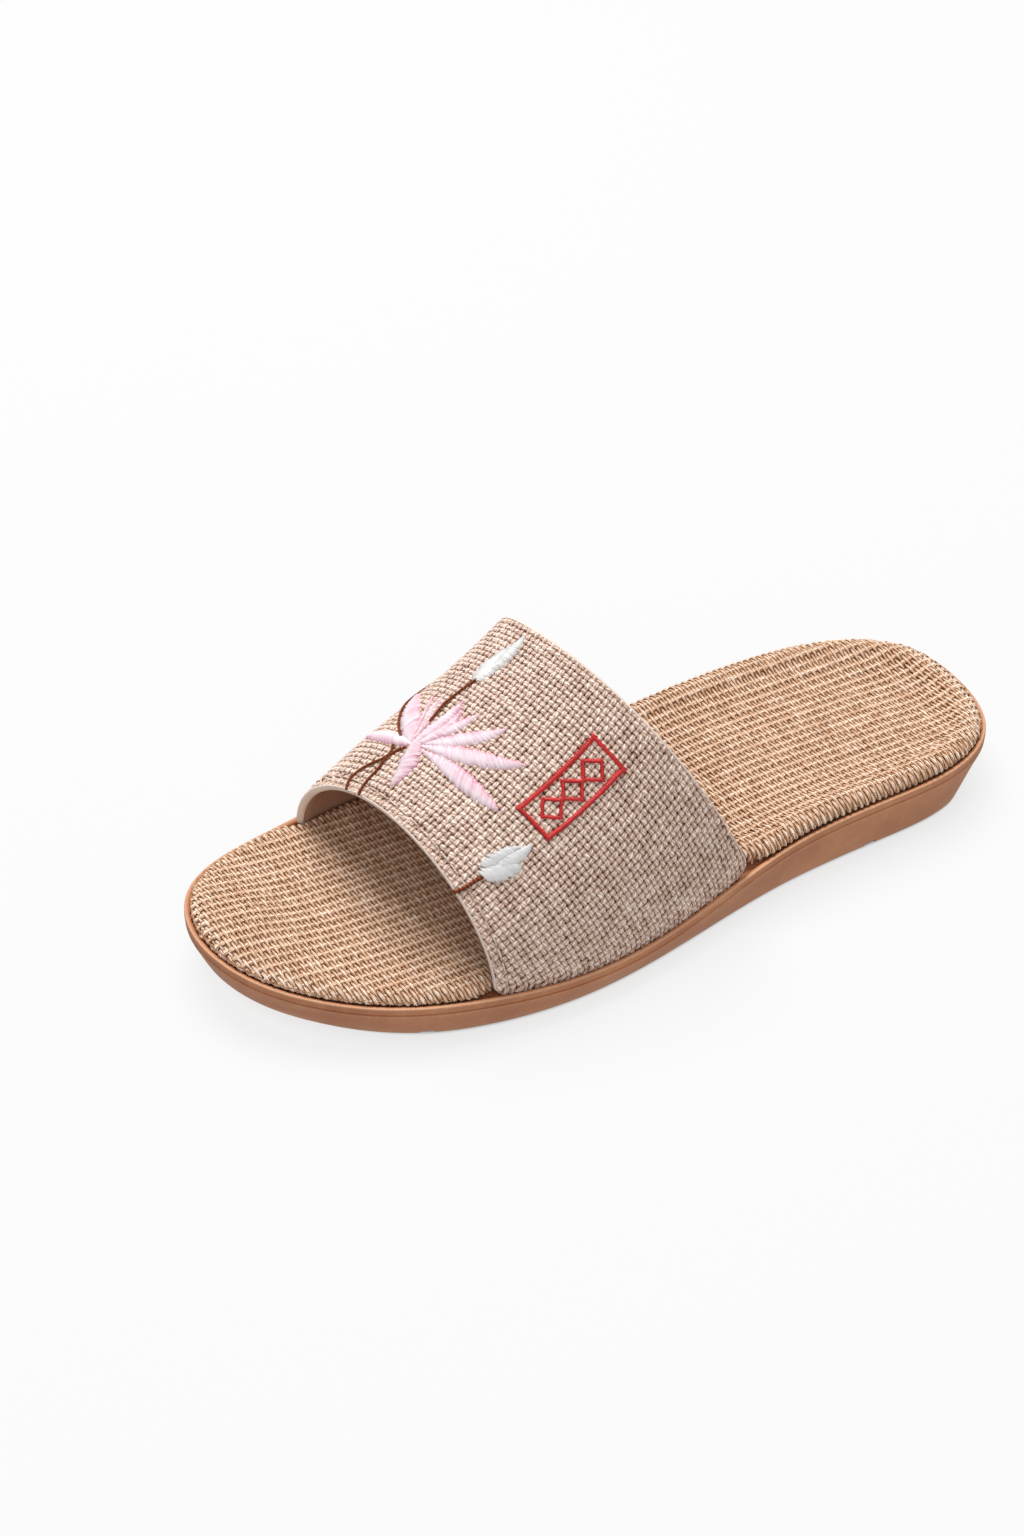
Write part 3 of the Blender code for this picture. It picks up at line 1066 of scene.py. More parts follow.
@dataclass
class Outsole:
    """The moulded sole: undercut wall, parting groove, beaded rim, seat and tread."""

    last: Last
    side_undercut: float = 3.0
    heel_undercut: float = 6.5
    soften_rounds: int = 2
    tread_depth: float = 1.8
    tread_edge: float = 12.0
    tread_border: float = 5.0
    tread_columns: int = 10
    tread_most: float = 0.45
    tread_worn: float = 0.2
    crease: float = 50.0
    finish: RubberFinish = RubberFinish("sole_rubber", "#A86A49", "#CD8D64", "#DFB693")

    def tread_floor(self, x: Array, inside: Array) -> Array:
        """Height of the tread over its plane: the grooves' depth where one reaches, and else nothing.

        Args:
            x: places along the shoe.
            inside: distances from the sole's edge.

        Returns:
            The heights.
        """
        height = np.zeros(np.broadcast(x, inside).shape)
        for groove in TREAD:
            within = np.abs(x - groove.x) < self.last.tread_width / 2.0
            reached = within & ((inside > self.tread_edge) | groove.through)
            height = np.where(reached, self.tread_depth, height)
        return height

    def wall(self) -> tuple[Array, Array]:
        """Levels of the wall, and how pale each is, a painted highlight on edges: the ring table with its
        corners cut.

        Each level is the outline moved in by its share of the undercut, and lifted to its share of
        the wall's height. Where a groove runs right across, the wall is notched.

        Returns:
            Points of levels by outline points, and their paleness values.
        """
        x = self.last.x
        low = self.last.underside()
        groove = self.last.curve("groove", x)
        tuck = smooth_step((self.last.heel_break - x) / self.last.heel_break)
        undercut = self.side_undercut + (self.heel_undercut - self.side_undercut) * tuck
        rows = cut_corners(np.array(WALL_RINGS), self.soften_rounds)
        rungs = np.concatenate([self.last.rung_x, self.last.rung_x[-2:0:-1]])
        notch = self.tread_floor(rungs, np.zeros(len(rungs)))
        levels = []
        for share, inset, rise, above, _ in rows:
            height = np.maximum(low + rise * (groove - low) + above, notch)
            levels.append(self.last.ring(share * undercut + inset, height))
        worn = np.repeat(rows[:, 4], len(x)).reshape(len(rows), len(x))
        return np.stack(levels), worn

    def tread(self, ring: Array) -> Array:
        """Points under the sole: each rung from side to side, with columns crowded where grooves end.

        Args:
            ring: the wall's lowest level.

        Returns:
            Points of rungs by columns, the outermost on the ring itself.
        """
        half = self.last.half
        lateral = ring[1:half]
        medial = ring[-1:half:-1]
        width = np.linalg.norm(lateral - medial, axis=1)
        wall = self.last.tread_wall / 2.0
        edge = np.array([0.0, self.tread_border, self.tread_edge - wall, self.tread_edge + wall])
        scale = np.minimum(1.0, self.tread_most * width / edge[-1])
        near = edge[None] * scale[:, None] / width[:, None]
        even = np.linspace(0.0, 1.0, self.tread_columns)[None, 1:-1]
        middle = near[:, -1:] + (1.0 - 2.0 * near[:, -1:]) * even
        share = np.concatenate([near, middle, 1.0 - near[:, ::-1]], axis=1)
        points = lateral[:, None] + (medial - lateral)[:, None] * share[..., None]
        inside = np.minimum(share, 1.0 - share) * width[:, None]
        floor = self.tread_floor(self.last.rung_x[1:-1, None], inside)
        points[..., 2] = np.maximum(points[..., 2], floor)
        return points

    def build(self, effects: Effects) -> None:
        """Make the sole: the wall's levels, the tread under them and rungs over the seat.

        Args:
            effects: the shared node groups.
        """
        levels, worn = self.wall()
        index = np.arange(worn.size).reshape(worn.shape)
        tread = self.tread(levels[0])
        inner = np.arange(tread[:, 1:-1].size // 3).reshape(len(tread), -1) + index.size
        half = self.last.half
        floor = np.concatenate([index[0, 1:half, None], inner, index[0, -1:half:-1, None]], axis=1)
        heel = np.append(floor[0][::-1], index[0, 0])[None, ::-1]
        toe = np.append(floor[-1], index[0, half])[None, ::-1]
        faces = [grid_quads(index, closed=True), grid_quads(floor, closed=False), heel, toe]
        faces += self.last.rung_quads(index[-1])
        points = np.concatenate([levels.reshape(-1, 3), tread[:, 1:-1].reshape(-1, 3)])
        values = np.concatenate([worn.ravel(), np.full(inner.size, self.tread_worn)])
        shell = Shell(points, faces, {}, {"worn": values})
        piece = self.last.add("sole", shell, self.finish.make(effects), Slot.SOLE)
        piece.data.set_sharp_from_angle(angle=np.radians(self.crease))
        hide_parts("outsole")


# Plan grid of the footbed's middle, in steps of a millimetre
GRID_X = (-15.0, 276.0)
GRID_Y = (-62.0, 67.0)


@dataclass
class Footbed:
    """The wrapped footbed: a soft pad, and a cover woven of bold cross yarns over lengthwise ones."""

    last: Last
    cross_pitch: float = 1.135
    cross_tilt: float = -0.09
    cross_wave: float = 0.25
    cross_half: Pair = (0.68, 0.36)
    cross_tint_and_crest_highlight: Pair = (0.64, 0.34)
    cross_flank_shade: float = 0.74
    cross_slubs: Span = (32, 5)
    cross_numbers: Span = (-14, 244)
    cross_run: Pair = (-60.0, 64.0)
    binder_pitch: float = 3.1
    binder_tilt: float = -0.02
    binder_wave: float = 0.22
    binder_half: Pair = (1.12, 0.32)
    binder_tint_and_dip_shade: Pair = (0.66, 0.16)
    binder_flank_shade: float = 0.5
    binder_slubs: Span = (40, 9)
    binder_numbers: Span = (-21, 22)
    binder_run: Pair = (-12.0, 274.0)
    yarn_sides: int = 4
    row_step: float = 0.14
    mid_depth: float = 0.6
    pad_depth: float = 1.1
    pad_slack: float = 0.7
    roll_inset: float = 8.0
    roll_blend: float = 4.0
    roll_height: float = 5.7
    roll_samples: int = 400
    overhang: float = 1.2
    overhang_at: float = 0.5
    overhang_spread: float = 0.24
    settle_rounds: int = 30
    edge_start: float = 4.5
    edge_span: float = 4.0
    sink: float = 0.45
    flatten: float = 0.7
    binder_flatten: float = 0.5
    edge_wave: float = 0.35
    edge_width: float = 0.12
    edge_height: float = 0.3
    edge_painted_light: float = 0.2
    bare_end: float = 0.3
    probe: float = 0.2
    batch: int = 3000
    seed: int = 11
    yarn: YarnFinish = YarnFinish("straw_yarn", "#9C6540", "#DBB493", "#FDEEDF", 5.0, 0.14, 0.9)
    thread: YarnFinish = YarnFinish("straw_binder", "#94603C", "#D8AF8D", "#FAE5D1", 5.0, 0.14, 0.9)
    # The pad's brown is kept dark so that the pits of the woven cover above it show dark: painted shade.
    foam: ClothFinish = ClothFinish("footbed_backing", "#8A532C", "#A86C40", "#A86C40")

    def __post_init__(self) -> None:
        """Lay out the edge line, the profile of the rolled edge and the dished middle."""
        last = self.last
        self.free = 1.0 - last.pocket()
        self.edge_inset = RIM_WIDTH + GAP + (STRAP_WALL + GAP + last.pocket_slack) * last.pocket()
        self.edge = last.plan + last.inward * self.edge_inset[:, None]
        rows = np.array(PAD_RINGS)[::-1]
        knots = running_length(np.stack([rows[:, 0], rows[:, 1] * self.roll_height], axis=1))
        knots -= knots[np.argmin(np.abs(rows[:, 0] - self.roll_inset))]
        self.reach = np.linspace(knots[0], knots[-1], self.roll_samples)
        self.profile = natural_spline(knots, rows, self.reach)
        self.deep = float(rows[0, 0])
        inner = np.column_stack([self.edge + last.inward * self.deep, self.height(last.x, 1.0, 1.0)])
        sides = (inner[:last.half + 1], inner[np.r_[0, len(inner) - 1:last.half - 1:-1]])
        self.middles = [side[np.argsort(side[:, 0])] for side in sides]
        grid = np.meshgrid(np.arange(*GRID_X), np.arange(*GRID_Y), indexing="ij")
        self.level = self.settled(np.stack(grid, axis=2))

    def settled(self, plan: Array) -> Array:
        """Height of the cover's middle on a grid of plan points, evened out as a soft pad settles.

        Up to the last ring the height follows the profile, and inside it the height runs straight from
        side to side. Inside the rolled edge each height is then averaged with its neighbours many times.

        Args:
            plan: the grid of plan points.

        Returns:
            The heights on that grid.
        """
        flat = plan.reshape(-1, 2)
        x, _, inset, _ = self.nearest(flat)
        laid = [np.interp(self.roll_inset - inset, self.reach, column) for column in self.profile.T[1:]]
        lines = [np.interp(flat[:, 0], side[:, 0], side[:, k]) for side in self.middles for k in (1, 2)]
        left, left_z, right, right_z = lines
        share = np.clip((left - flat[:, 1]) / np.maximum(left - right, 1e-6), 0.0, 1.0)
        straight = left_z + (right_z - left_z) * share
        level = np.where(inset < self.deep, self.height(x, *laid), straight).reshape(plan.shape[:2])
        held = inset.reshape(level.shape) < self.roll_inset
        for _ in range(self.settle_rounds):
            padded = np.pad(level, 1, mode="edge")
            evened = (padded[2:, 1:-1] + padded[:-2, 1:-1] + padded[1:-1, 2:] + padded[1:-1, :-2]) / 4.0
            level = np.where(held, level, evened)
        return level

    def height(self, x: Array, crest: Array | float, dish: Array | float) -> Array:
        """Height at outline place x, for shares of the crest's height and of the dish."""
        base = self.last.curve("groove", x) + GAP
        return base + crest * (self.last.curve("crest", x) - GAP) - dish * self.last.curve("dish", x)

    def nearest(self, plan: Array) -> tuple[Array, Array, Array, Array]:
        """Outline place, inward direction and inset of plan points, from the nearest point of the edge.

        Args:
            plan: points of the flat cover.

        Returns:
            The outline's x, the inward direction, the inset from the insole's edge, and how free the
            edge is there of the strap's pocket.
        """
        picked = []
        for part in np.array_split(plan, len(plan) // self.batch + 1):
            gap = part[:, None] - self.edge[None]
            picked.append(np.argmin(np.einsum("ijk,ijk->ij", gap, gap), axis=1))
        pick = np.concatenate(picked)
        count = len(self.edge)
        ahead = self.edge[(pick + 1) % count] - self.edge[pick]
        off = plan - self.edge[pick]
        forward = np.sum(off * ahead, axis=1) > 0.0
        other = np.where(forward, pick + 1, pick - 1) % count
        toward = self.edge[other] - self.edge[pick]
        length = np.maximum(np.sum(toward * toward, axis=1), 1e-9)
        share = np.clip(np.sum(off * toward, axis=1) / length, 0.0, 1.0)
        mixed = [part[pick] + (part[other] - part[pick]) * share.reshape(-1, *[1] * (part.ndim - 1))
                 for part in (self.last.x, self.last.inward, self.edge, self.free)]
        inward = unit(mixed[1])
        return mixed[0], inward, np.sum((plan - mixed[2]) * inward, axis=1), mixed[3]

    def skin(self, plan: Array) -> tuple[Array, Array]:
        """The cover's surface over its flat plan, and how far along the profile each point lies.

        Beyond the ring at `roll_inset` the flat distance is laid along the profile of the rolled
        edge, so that the cover bends over the edge, hangs over the rim where no strap stands, and
        tucks in below. Inside that ring the height passes over to the settled middle.

        Args:
            plan: points of the flat cover.

        Returns:
            The points in space, and the distances along the profile.
        """
        x, inward, inset, free = self.nearest(plan)
        along = self.roll_inset - inset
        laid = np.stack([np.interp(along, self.reach, column) for column in self.profile.T], axis=1)
        bulge = self.overhang * free * np.exp(-((laid[:, 1] - self.overhang_at) / self.overhang_spread) ** 2)
        middle = smooth_step((inset - self.roll_inset) / self.roll_blend)
        moved = (laid[:, 0] - inset - bulge * (inset < self.roll_inset)) * (1.0 - middle)
        flat = plan + inward * moved[:, None]
        height = self.height(x, laid[:, 1], laid[:, 2])
        level = on_grid(self.level[..., None], plan[:, 0] - GRID_X[0], plan[:, 1] - GRID_Y[0])[:, 0]
        return np.column_stack([flat, height + (level - height) * middle]), along

    def place(self, plan: Array, lift: Array) -> tuple[Array, Array, Array]:
        """Points lifted off the cover's surface along its normals, which come from steps both ways.

        Args:
            plan: yarns by samples, on the flat cover.
            lift: height over the surface.

        Returns:
            The points, the normals, and which points lie on the cover.
        """
        shape = plan.shape[:-1]
        flat = plan.reshape(-1, 2)
        middle, along = self.skin(flat)
        ways = [self.skin(flat + step)[0] - self.skin(flat - step)[0] for step in np.eye(2) * self.probe]
        normal = unit(np.cross(*ways))
        points = middle + normal * lift.reshape(-1, 1)
        valid = along < self.reach[-1] - self.bare_end
        return points.reshape(*shape, 3), normal.reshape(*shape, 3), valid.reshape(shape)

    def rolling(self, plan: Array, heading: Array) -> tuple[Array, Array]:
        """How far yarns have rolled over the edge, and how far they run along it there, as shares.

        Args:
            plan: yarns by samples, on the flat cover.
            heading: the yarns' direction.

        Returns:
            The share rolled over, and that share times the squared sine between heading and inward.
        """
        _, inward, inset, _ = self.nearest(plan.reshape(-1, 2))
        rolled = smooth_step((self.edge_start - inset) / self.edge_span)
        skirting = rolled * (1.0 - (inward @ unit(heading)) ** 2)
        return rolled.reshape(plan.shape[:2]), skirting.reshape(plan.shape[:2])

    def cross_yarns(self) -> YarnPaths:
        """Yarns across the shoe: each rises over one binder and dips under the next, deeper at every second.

        Height is a cosine of the row, half a turn a binder, and a slower cosine deepens every second
        row of dips. Yarns are plump where they lie on top, bolder where they roll over the edge, and
        flat where they run along it.

        Returns:
            The yarns' paths.
        """
        number = np.arange(*self.cross_numbers)
        y = np.arange(*self.cross_run, self.binder_pitch / 4.0)
        x = number[:, None] * self.cross_pitch + self.cross_tilt * y
        plan = np.stack(np.broadcast_arrays(x, y), axis=2)
        row = (plan[..., 1] - self.binder_tilt * (plan[..., 0] - self.last.length / 2.0)) / self.binder_pitch
        turn = np.pi * (row + number[:, None])
        step = 1.0 + self.row_step * np.cos(np.pi * np.round(row))
        wander = slubs(self.seed, len(number), len(y), self.cross_slubs[0])
        swell = slubs(self.seed + 1, len(number), len(y), self.cross_slubs[1])
        plan[..., 0] += 0.05 * wander
        rolled, skirting = self.rolling(plan, np.array([self.cross_tilt, 1.0]))
        wave = np.cos(turn) * step * (1.0 + self.edge_wave * rolled) * (1.0 - self.flatten * skirting)
        lift = self.cross_wave * wave - self.mid_depth + 0.03 * swell - self.sink * skirting
        points, normal, valid = self.place(plan, lift)
        # Painted highlight: the tint is brightest on each float's crest and falls where the float dives under
        # a binder; swell and wander add random tone.
        crest = np.maximum(np.cos(turn), 0.0) ** 2
        # Painted light: where the yarns run along the rolled edge their tint is raised to offset the shade
        # there.
        tint = self.cross_tint_and_crest_highlight[0] + self.cross_tint_and_crest_highlight[1] * crest * step + self.edge_painted_light * skirting
        tint += 0.045 * swell + 0.02 * wander
        wide = self.cross_half[0] * (1.0 + 0.16 * np.cos(turn) + 0.06 * swell + self.edge_width * rolled)
        high = self.cross_half[1] * (1.0 + 0.06 * swell + self.edge_height * rolled - self.flatten * skirting)
        return YarnPaths(points, normal, wide, high, valid, y, tint)

    def binders(self) -> YarnPaths:
        """Lengthwise yarns: the opposite wave, under each float that rises over them, flat along the edge.

        Returns:
            The yarns' paths.
        """
        number = np.arange(*self.binder_numbers)
        x = np.arange(*self.binder_run, self.cross_pitch / 2.0)
        y = number[:, None] * self.binder_pitch + self.binder_tilt * (x - self.last.length / 2.0)
        plan = np.stack(np.broadcast_arrays(x, y), axis=2)
        turn = np.pi * (x - self.cross_tilt * y) / self.cross_pitch + np.pi * number[:, None]
        swell = slubs(self.seed + 2, len(number), len(x), self.binder_slubs[1])
        wander = slubs(self.seed + 3, len(number), len(x), self.binder_slubs[0])
        plan[..., 1] += 0.08 * wander
        rolled, skirting = self.rolling(plan, np.array([1.0, self.binder_tilt]))
        wave = np.cos(turn) * (1.0 - self.flatten * skirting)
        lift = -self.binder_wave * wave - self.mid_depth - self.sink * skirting
        points, normal, valid = self.place(plan, lift)
        # Painted shade: the tint falls where the binder dips under a float and rises where it rides up; swell
        # adds random tone.
        tint = self.binder_tint_and_dip_shade[0] - self.binder_tint_and_dip_shade[1] * np.cos(turn) + 0.05 * swell
        # Painted light: on the rolled edge the binders' tint is raised to offset the shade there, less where
        # they run along it.
        tint += self.edge_painted_light * (rolled - skirting)
        thinned = self.binder_flatten * skirting
        wide = self.binder_half[0] * (1.0 - 0.18 * np.cos(turn) + 0.06 * swell - thinned)
        high = self.binder_half[1] * (1.0 + 0.05 * swell - thinned)
        return YarnPaths(points, normal, wide, high, valid, x, tint)

    def pad(self) -> Shell:
        """The closed pad under the cover: the insole's rings, drawn in and down by the cover's depth.

        Returns:
            The pad's shell.
        """
        last = self.last
        rings = []
        for row in PAD_RINGS:
            inset = self.edge_inset + row.inset + self.pad_depth * (1.0 - row.crest)
            sunk = self.pad_depth * row.crest + self.pad_slack * (row.inset > self.roll_inset)
            rings.append(last.ring(inset, self.height(last.x, row.crest, row.dish) - sunk))
        index = np.arange(len(rings) * len(last.x)).reshape(len(rings), -1)
        top = last.rung_quads(index[-1])
        under = [part[:, ::-1] for part in last.rung_quads(index[0])]
        return Shell(np.concatenate(rings), [grid_quads(index, closed=True), *top, *under]).outward()

    def build(self, effects: Effects) -> None:
        """Make the pad and the two yarn families of its cover.

        Args:
            effects: the shared node groups.
        """
        pad = self.last.add("footbed_pad", self.pad(), self.foam.make(effects), Slot.FOOTBED)
        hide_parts("insole")
        bold = self.cross_yarns().shell(self.yarn_sides, self.cross_flank_shade)
        cover = self.last.add("footbed_yarns", bold, self.yarn.make(effects), Slot.FOOTBED)
        thin = self.binders().shell(self.yarn_sides, self.binder_flank_shade)
        binders = self.last.add("footbed_binders", thin, self.thread.make(effects), Slot.FOOTBED)


@dataclass
class Strap:
    """The upper: an arched band with a linen face, a foam core and a lining that turns its edges."""

    last: Last
    rows: int = 121
    columns: int = 361
    arch_samples: int = 1441
    foot: float = 1.6
    rim_cover: float = 0.9
    rear_corner: float = 5.0
    front_corner: float = 2.0
    front_trim: float = 1.8
    trim_power: float = 0.7
    edge_radius: float = 1.25
    fold_turn: float = 0.5
    fold_tuck: float = 0.3
    fold_rows: int = 9
    cloth_skew: float = 0.06
    cloth_rounds: int = 7
    foot_tuck: float = 0.004
    core_short: float = 0.006
    core_rows: int = 31
    core_columns: int = 121
    core_depths: Pair = (1.15, 2.15)
    lining_rows: int = 25
    lining_columns: int = 151
    lining_radii: Pair = (1.30, 0.95)
    # The core's brown is kept dark so that the linen's pits show dark over it: painted shade.
    core: ClothFinish = ClothFinish("strap_core", "#6E4A38", "#87614D", "#87614D")
    # The lining's inner face is brown, darker than its pale turned edges: painted shade inside the strap.
    inside: ClothFinish = ClothFinish("strap_lining", "#9B7158", "#B68B71", "#E6D5C9", 1600.0)

    def __post_init__(self) -> None:
        """Work out the outer face on a grid, its normals, and its lengths both ways."""
        share = np.linspace(0.0, 1.0, self.rows)
        knots = np.linspace(0.0, 1.0, len(STRAP_SECTIONS))
        sections = natural_spline(knots, np.array(STRAP_SECTIONS), share)
        full = np.stack([self.arch(StrapSection(*row)) for row in sections])
        across = np.linspace(0.0, 1.0, self.columns)
        front, rear = (running_length(full[row])[-1] for row in (0, -1))
        lengths = np.array([running_length(full[:, column])[-1] for column in range(self.columns)])
        trim = self.front_trim * np.sin(np.pi * across) ** self.trim_power
        start = (trim + self.rounding(across, front, self.front_corner)) / lengths
        stop = 1.0 - self.rounding(across, rear, self.rear_corner) / lengths
        row = (start + (stop - start) * share[:, None]) * (self.rows - 1)
        self.outer = on_grid(full, row, np.broadcast_to(np.arange(self.columns, dtype=float), row.shape))
        self.run = unit(np.gradient(self.outer, axis=0))
        normal = unit(np.cross(self.run, np.gradient(self.outer, axis=1)))
        self.normal = normal * np.sign(normal[0, self.columns // 2, 2])
        self.arc_lengths = np.array([running_length(line)[-1] for line in self.outer])
        self.run_lengths = np.array([running_length(line)[-1] for line in self.outer.swapaxes(0, 1)])

    def arch(self, section: StrapSection) -> Array:
        """One arch of the outer face, from its lateral to its medial foot, in even steps.

        Each half is a superellipse that starts upright at its foot and ends level at the crest, and
        the arch leans towards the toe as it rises.

        Args:
            section: the arch's sizes.

        Returns:
            The arch's points.
        """
        feet = []
        for which, x in enumerate((section.lateral_x, section.medial_x)):
            trace = self.last.traces[which]
            ring = trace[:, :2] + trace[:, 2:] * (RIM_WIDTH + GAP)
            y = np.interp(x, ring[:, 0], ring[:, 1])
            feet.append(np.array([x, y, self.last.curve("groove", [x])[0]]))
        lateral, medial = feet
        angle = np.linspace(0.0, np.pi, self.arch_samples)
        power = np.where(angle <= np.pi / 2.0, section.lateral_power, section.medial_power)
        across = np.sign(np.cos(angle)) * np.abs(np.cos(angle)) ** (2.0 / power)
        up = np.abs(np.sin(angle)) ** (2.0 / power)
        crest_y = (lateral[1] + medial[1]) / 2.0 + section.shift
        y = crest_y + np.where(across >= 0.0, lateral[1] - crest_y, crest_y - medial[1]) * across
        line = medial + (lateral - medial) * ((y - medial[1]) / (lateral[1] - medial[1]))[:, None]
        line[:, 0] += section.lean * up
        line[:, 1] = y
        line[:, 2] += self.foot + section.height * up
        return spaced(line, self.columns)

    def rounding(self, across: Array, arc: float, radius: float) -> Array:
        """How far a quarter circle cuts the lower corners of an edge back, at shares across it."""
        above = np.minimum(across, 1.0 - across) * arc - self.rim_cover
        share = np.clip(1.0 - above / radius, 0.0, 1.0)
        return radius * (1.0 - np.sqrt(1.0 - share * share))

    def run_at(self, across: Array) -> Array:
        """The band's length from front to rear, at shares across it."""
        return np.interp(across, np.linspace(0.0, 1.0, self.columns), self.run_lengths)

    def arc_at(self, along: Array) -> Array:
        """The band's length from foot to foot, at shares along it."""
        return np.interp(along, np.linspace(0.0, 1.0, self.rows), self.arc_lengths)

    def place(self, across: Array, along: Array, lift: Array) -> tuple[Array, Array]:
        """Points on the band, lifted off its outer face, and the way that they face.

        Past the front or rear edge the distance is laid round a half circle of the wall's thickness.

        Args:
            across: share of the arch, from the lateral to the medial foot.
            along: share of the length, from the front to the rear edge.
            lift: height over the outer face.

        Returns:
            The points and the directions.
        """
        inside = np.clip(along, 0.0, 1.0)
        column = across * (self.columns - 1)
        row = inside * (self.rows - 1)
        held = np.clip(column, 0.0, self.columns - 1.0)
        over = (along - inside) * self.run_at(across)
        turn = np.clip(over / self.edge_radius, -np.pi, np.pi)[..., None]
        normal = unit(on_grid(self.normal, row, held))
        facing = normal * np.cos(turn) + unit(on_grid(self.run, row, held)) * np.sin(turn)
        middle = on_grid(self.outer, row, column) - normal * self.edge_radius
        return middle + facing * (self.edge_radius + lift)[..., None], facing

    def cloth_shares(self, across: Array, along: Array) -> tuple[Array, Array]:
        """Shares on the band of places on the flat cloth, in millimetres from its middle.

        The cloth is laid without stretch: across from the crest line by the arch's true length, and
        along from the middle line by the band's true length, with cross yarns running slightly askew.
        Each length is read at the other share, so both are worked out in turn a few times.

        Args:
            across: distances across the cloth.
            along: distances along it.

        Returns:
            The shares across and along the band.
        """
        share_along = 0.5 + along / PATTERN_ALONG
        for _ in range(self.cloth_rounds):
            share_across = 0.5 - across / self.arc_at(share_along)
            share_along = 0.5 + (along + self.cloth_skew * across) / self.run_at(share_across)
        return share_across, share_along

    def core_shell(self) -> Shell:
        """The foam core: the outer face drawn in to two depths, and closed round its edges.

        Returns:
            The core's shell.
        """
        across = np.linspace(-self.foot_tuck, 1.0 + self.foot_tuck, self.core_columns)
        along = np.linspace(self.core_short, 1.0 - self.core_short, self.core_rows)
        column, row = np.broadcast_arrays(across[None, :], along[:, None])
        return slab(*(self.place(column, row, np.full(row.shape, -depth))[0] for depth in self.core_depths))

    def lining_shell(self) -> Shell:
        """The lining: the inner face, turned up round the front and rear edges over the linen's ends.

        Returns:
            The lining's shell, with a tint of 1 where it is turned.
        """
        fold = self.edge_radius * np.linspace(self.fold_turn, np.pi, self.fold_rows) / self.run_lengths.mean()
        along = np.concatenate([1.0 + fold, np.linspace(1.0, 0.0, self.lining_rows), -fold[::-1]])
        turned = np.repeat([1.0, 0.0, 1.0], [self.fold_rows, self.lining_rows, self.fold_rows])
        across = np.linspace(-self.foot_tuck, 1.0 + self.foot_tuck, self.lining_columns)
        column, row = np.broadcast_arrays(across[None, :], along[:, None])
        held = np.clip(row, 0.0, 1.0)
        walls = []
        for radius in self.lining_radii:
            edge = self.place(column, row, np.full(row.shape, radius - self.edge_radius))[0]
            face = self.place(column, held, np.full(row.shape, -radius - self.edge_radius))[0]
            walls.append(np.where(turned[:, None, None] > 0.5, edge, face))
        shell = slab(*walls)
        shell.values["tint"] = np.tile(np.repeat(turned, len(across)), 2)
        return shell

    def build(self, effects: Effects) -> None:
        """Make the core and the lining.

        Args:
            effects: the shared node groups.
        """
        core = self.last.add("strap_core", self.core_shell(), self.core.make(effects), Slot.STRAP)
        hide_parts("strap")
        lining = self.last.add("strap_lining", self.lining_shell(), self.inside.make(effects), Slot.STRAP)


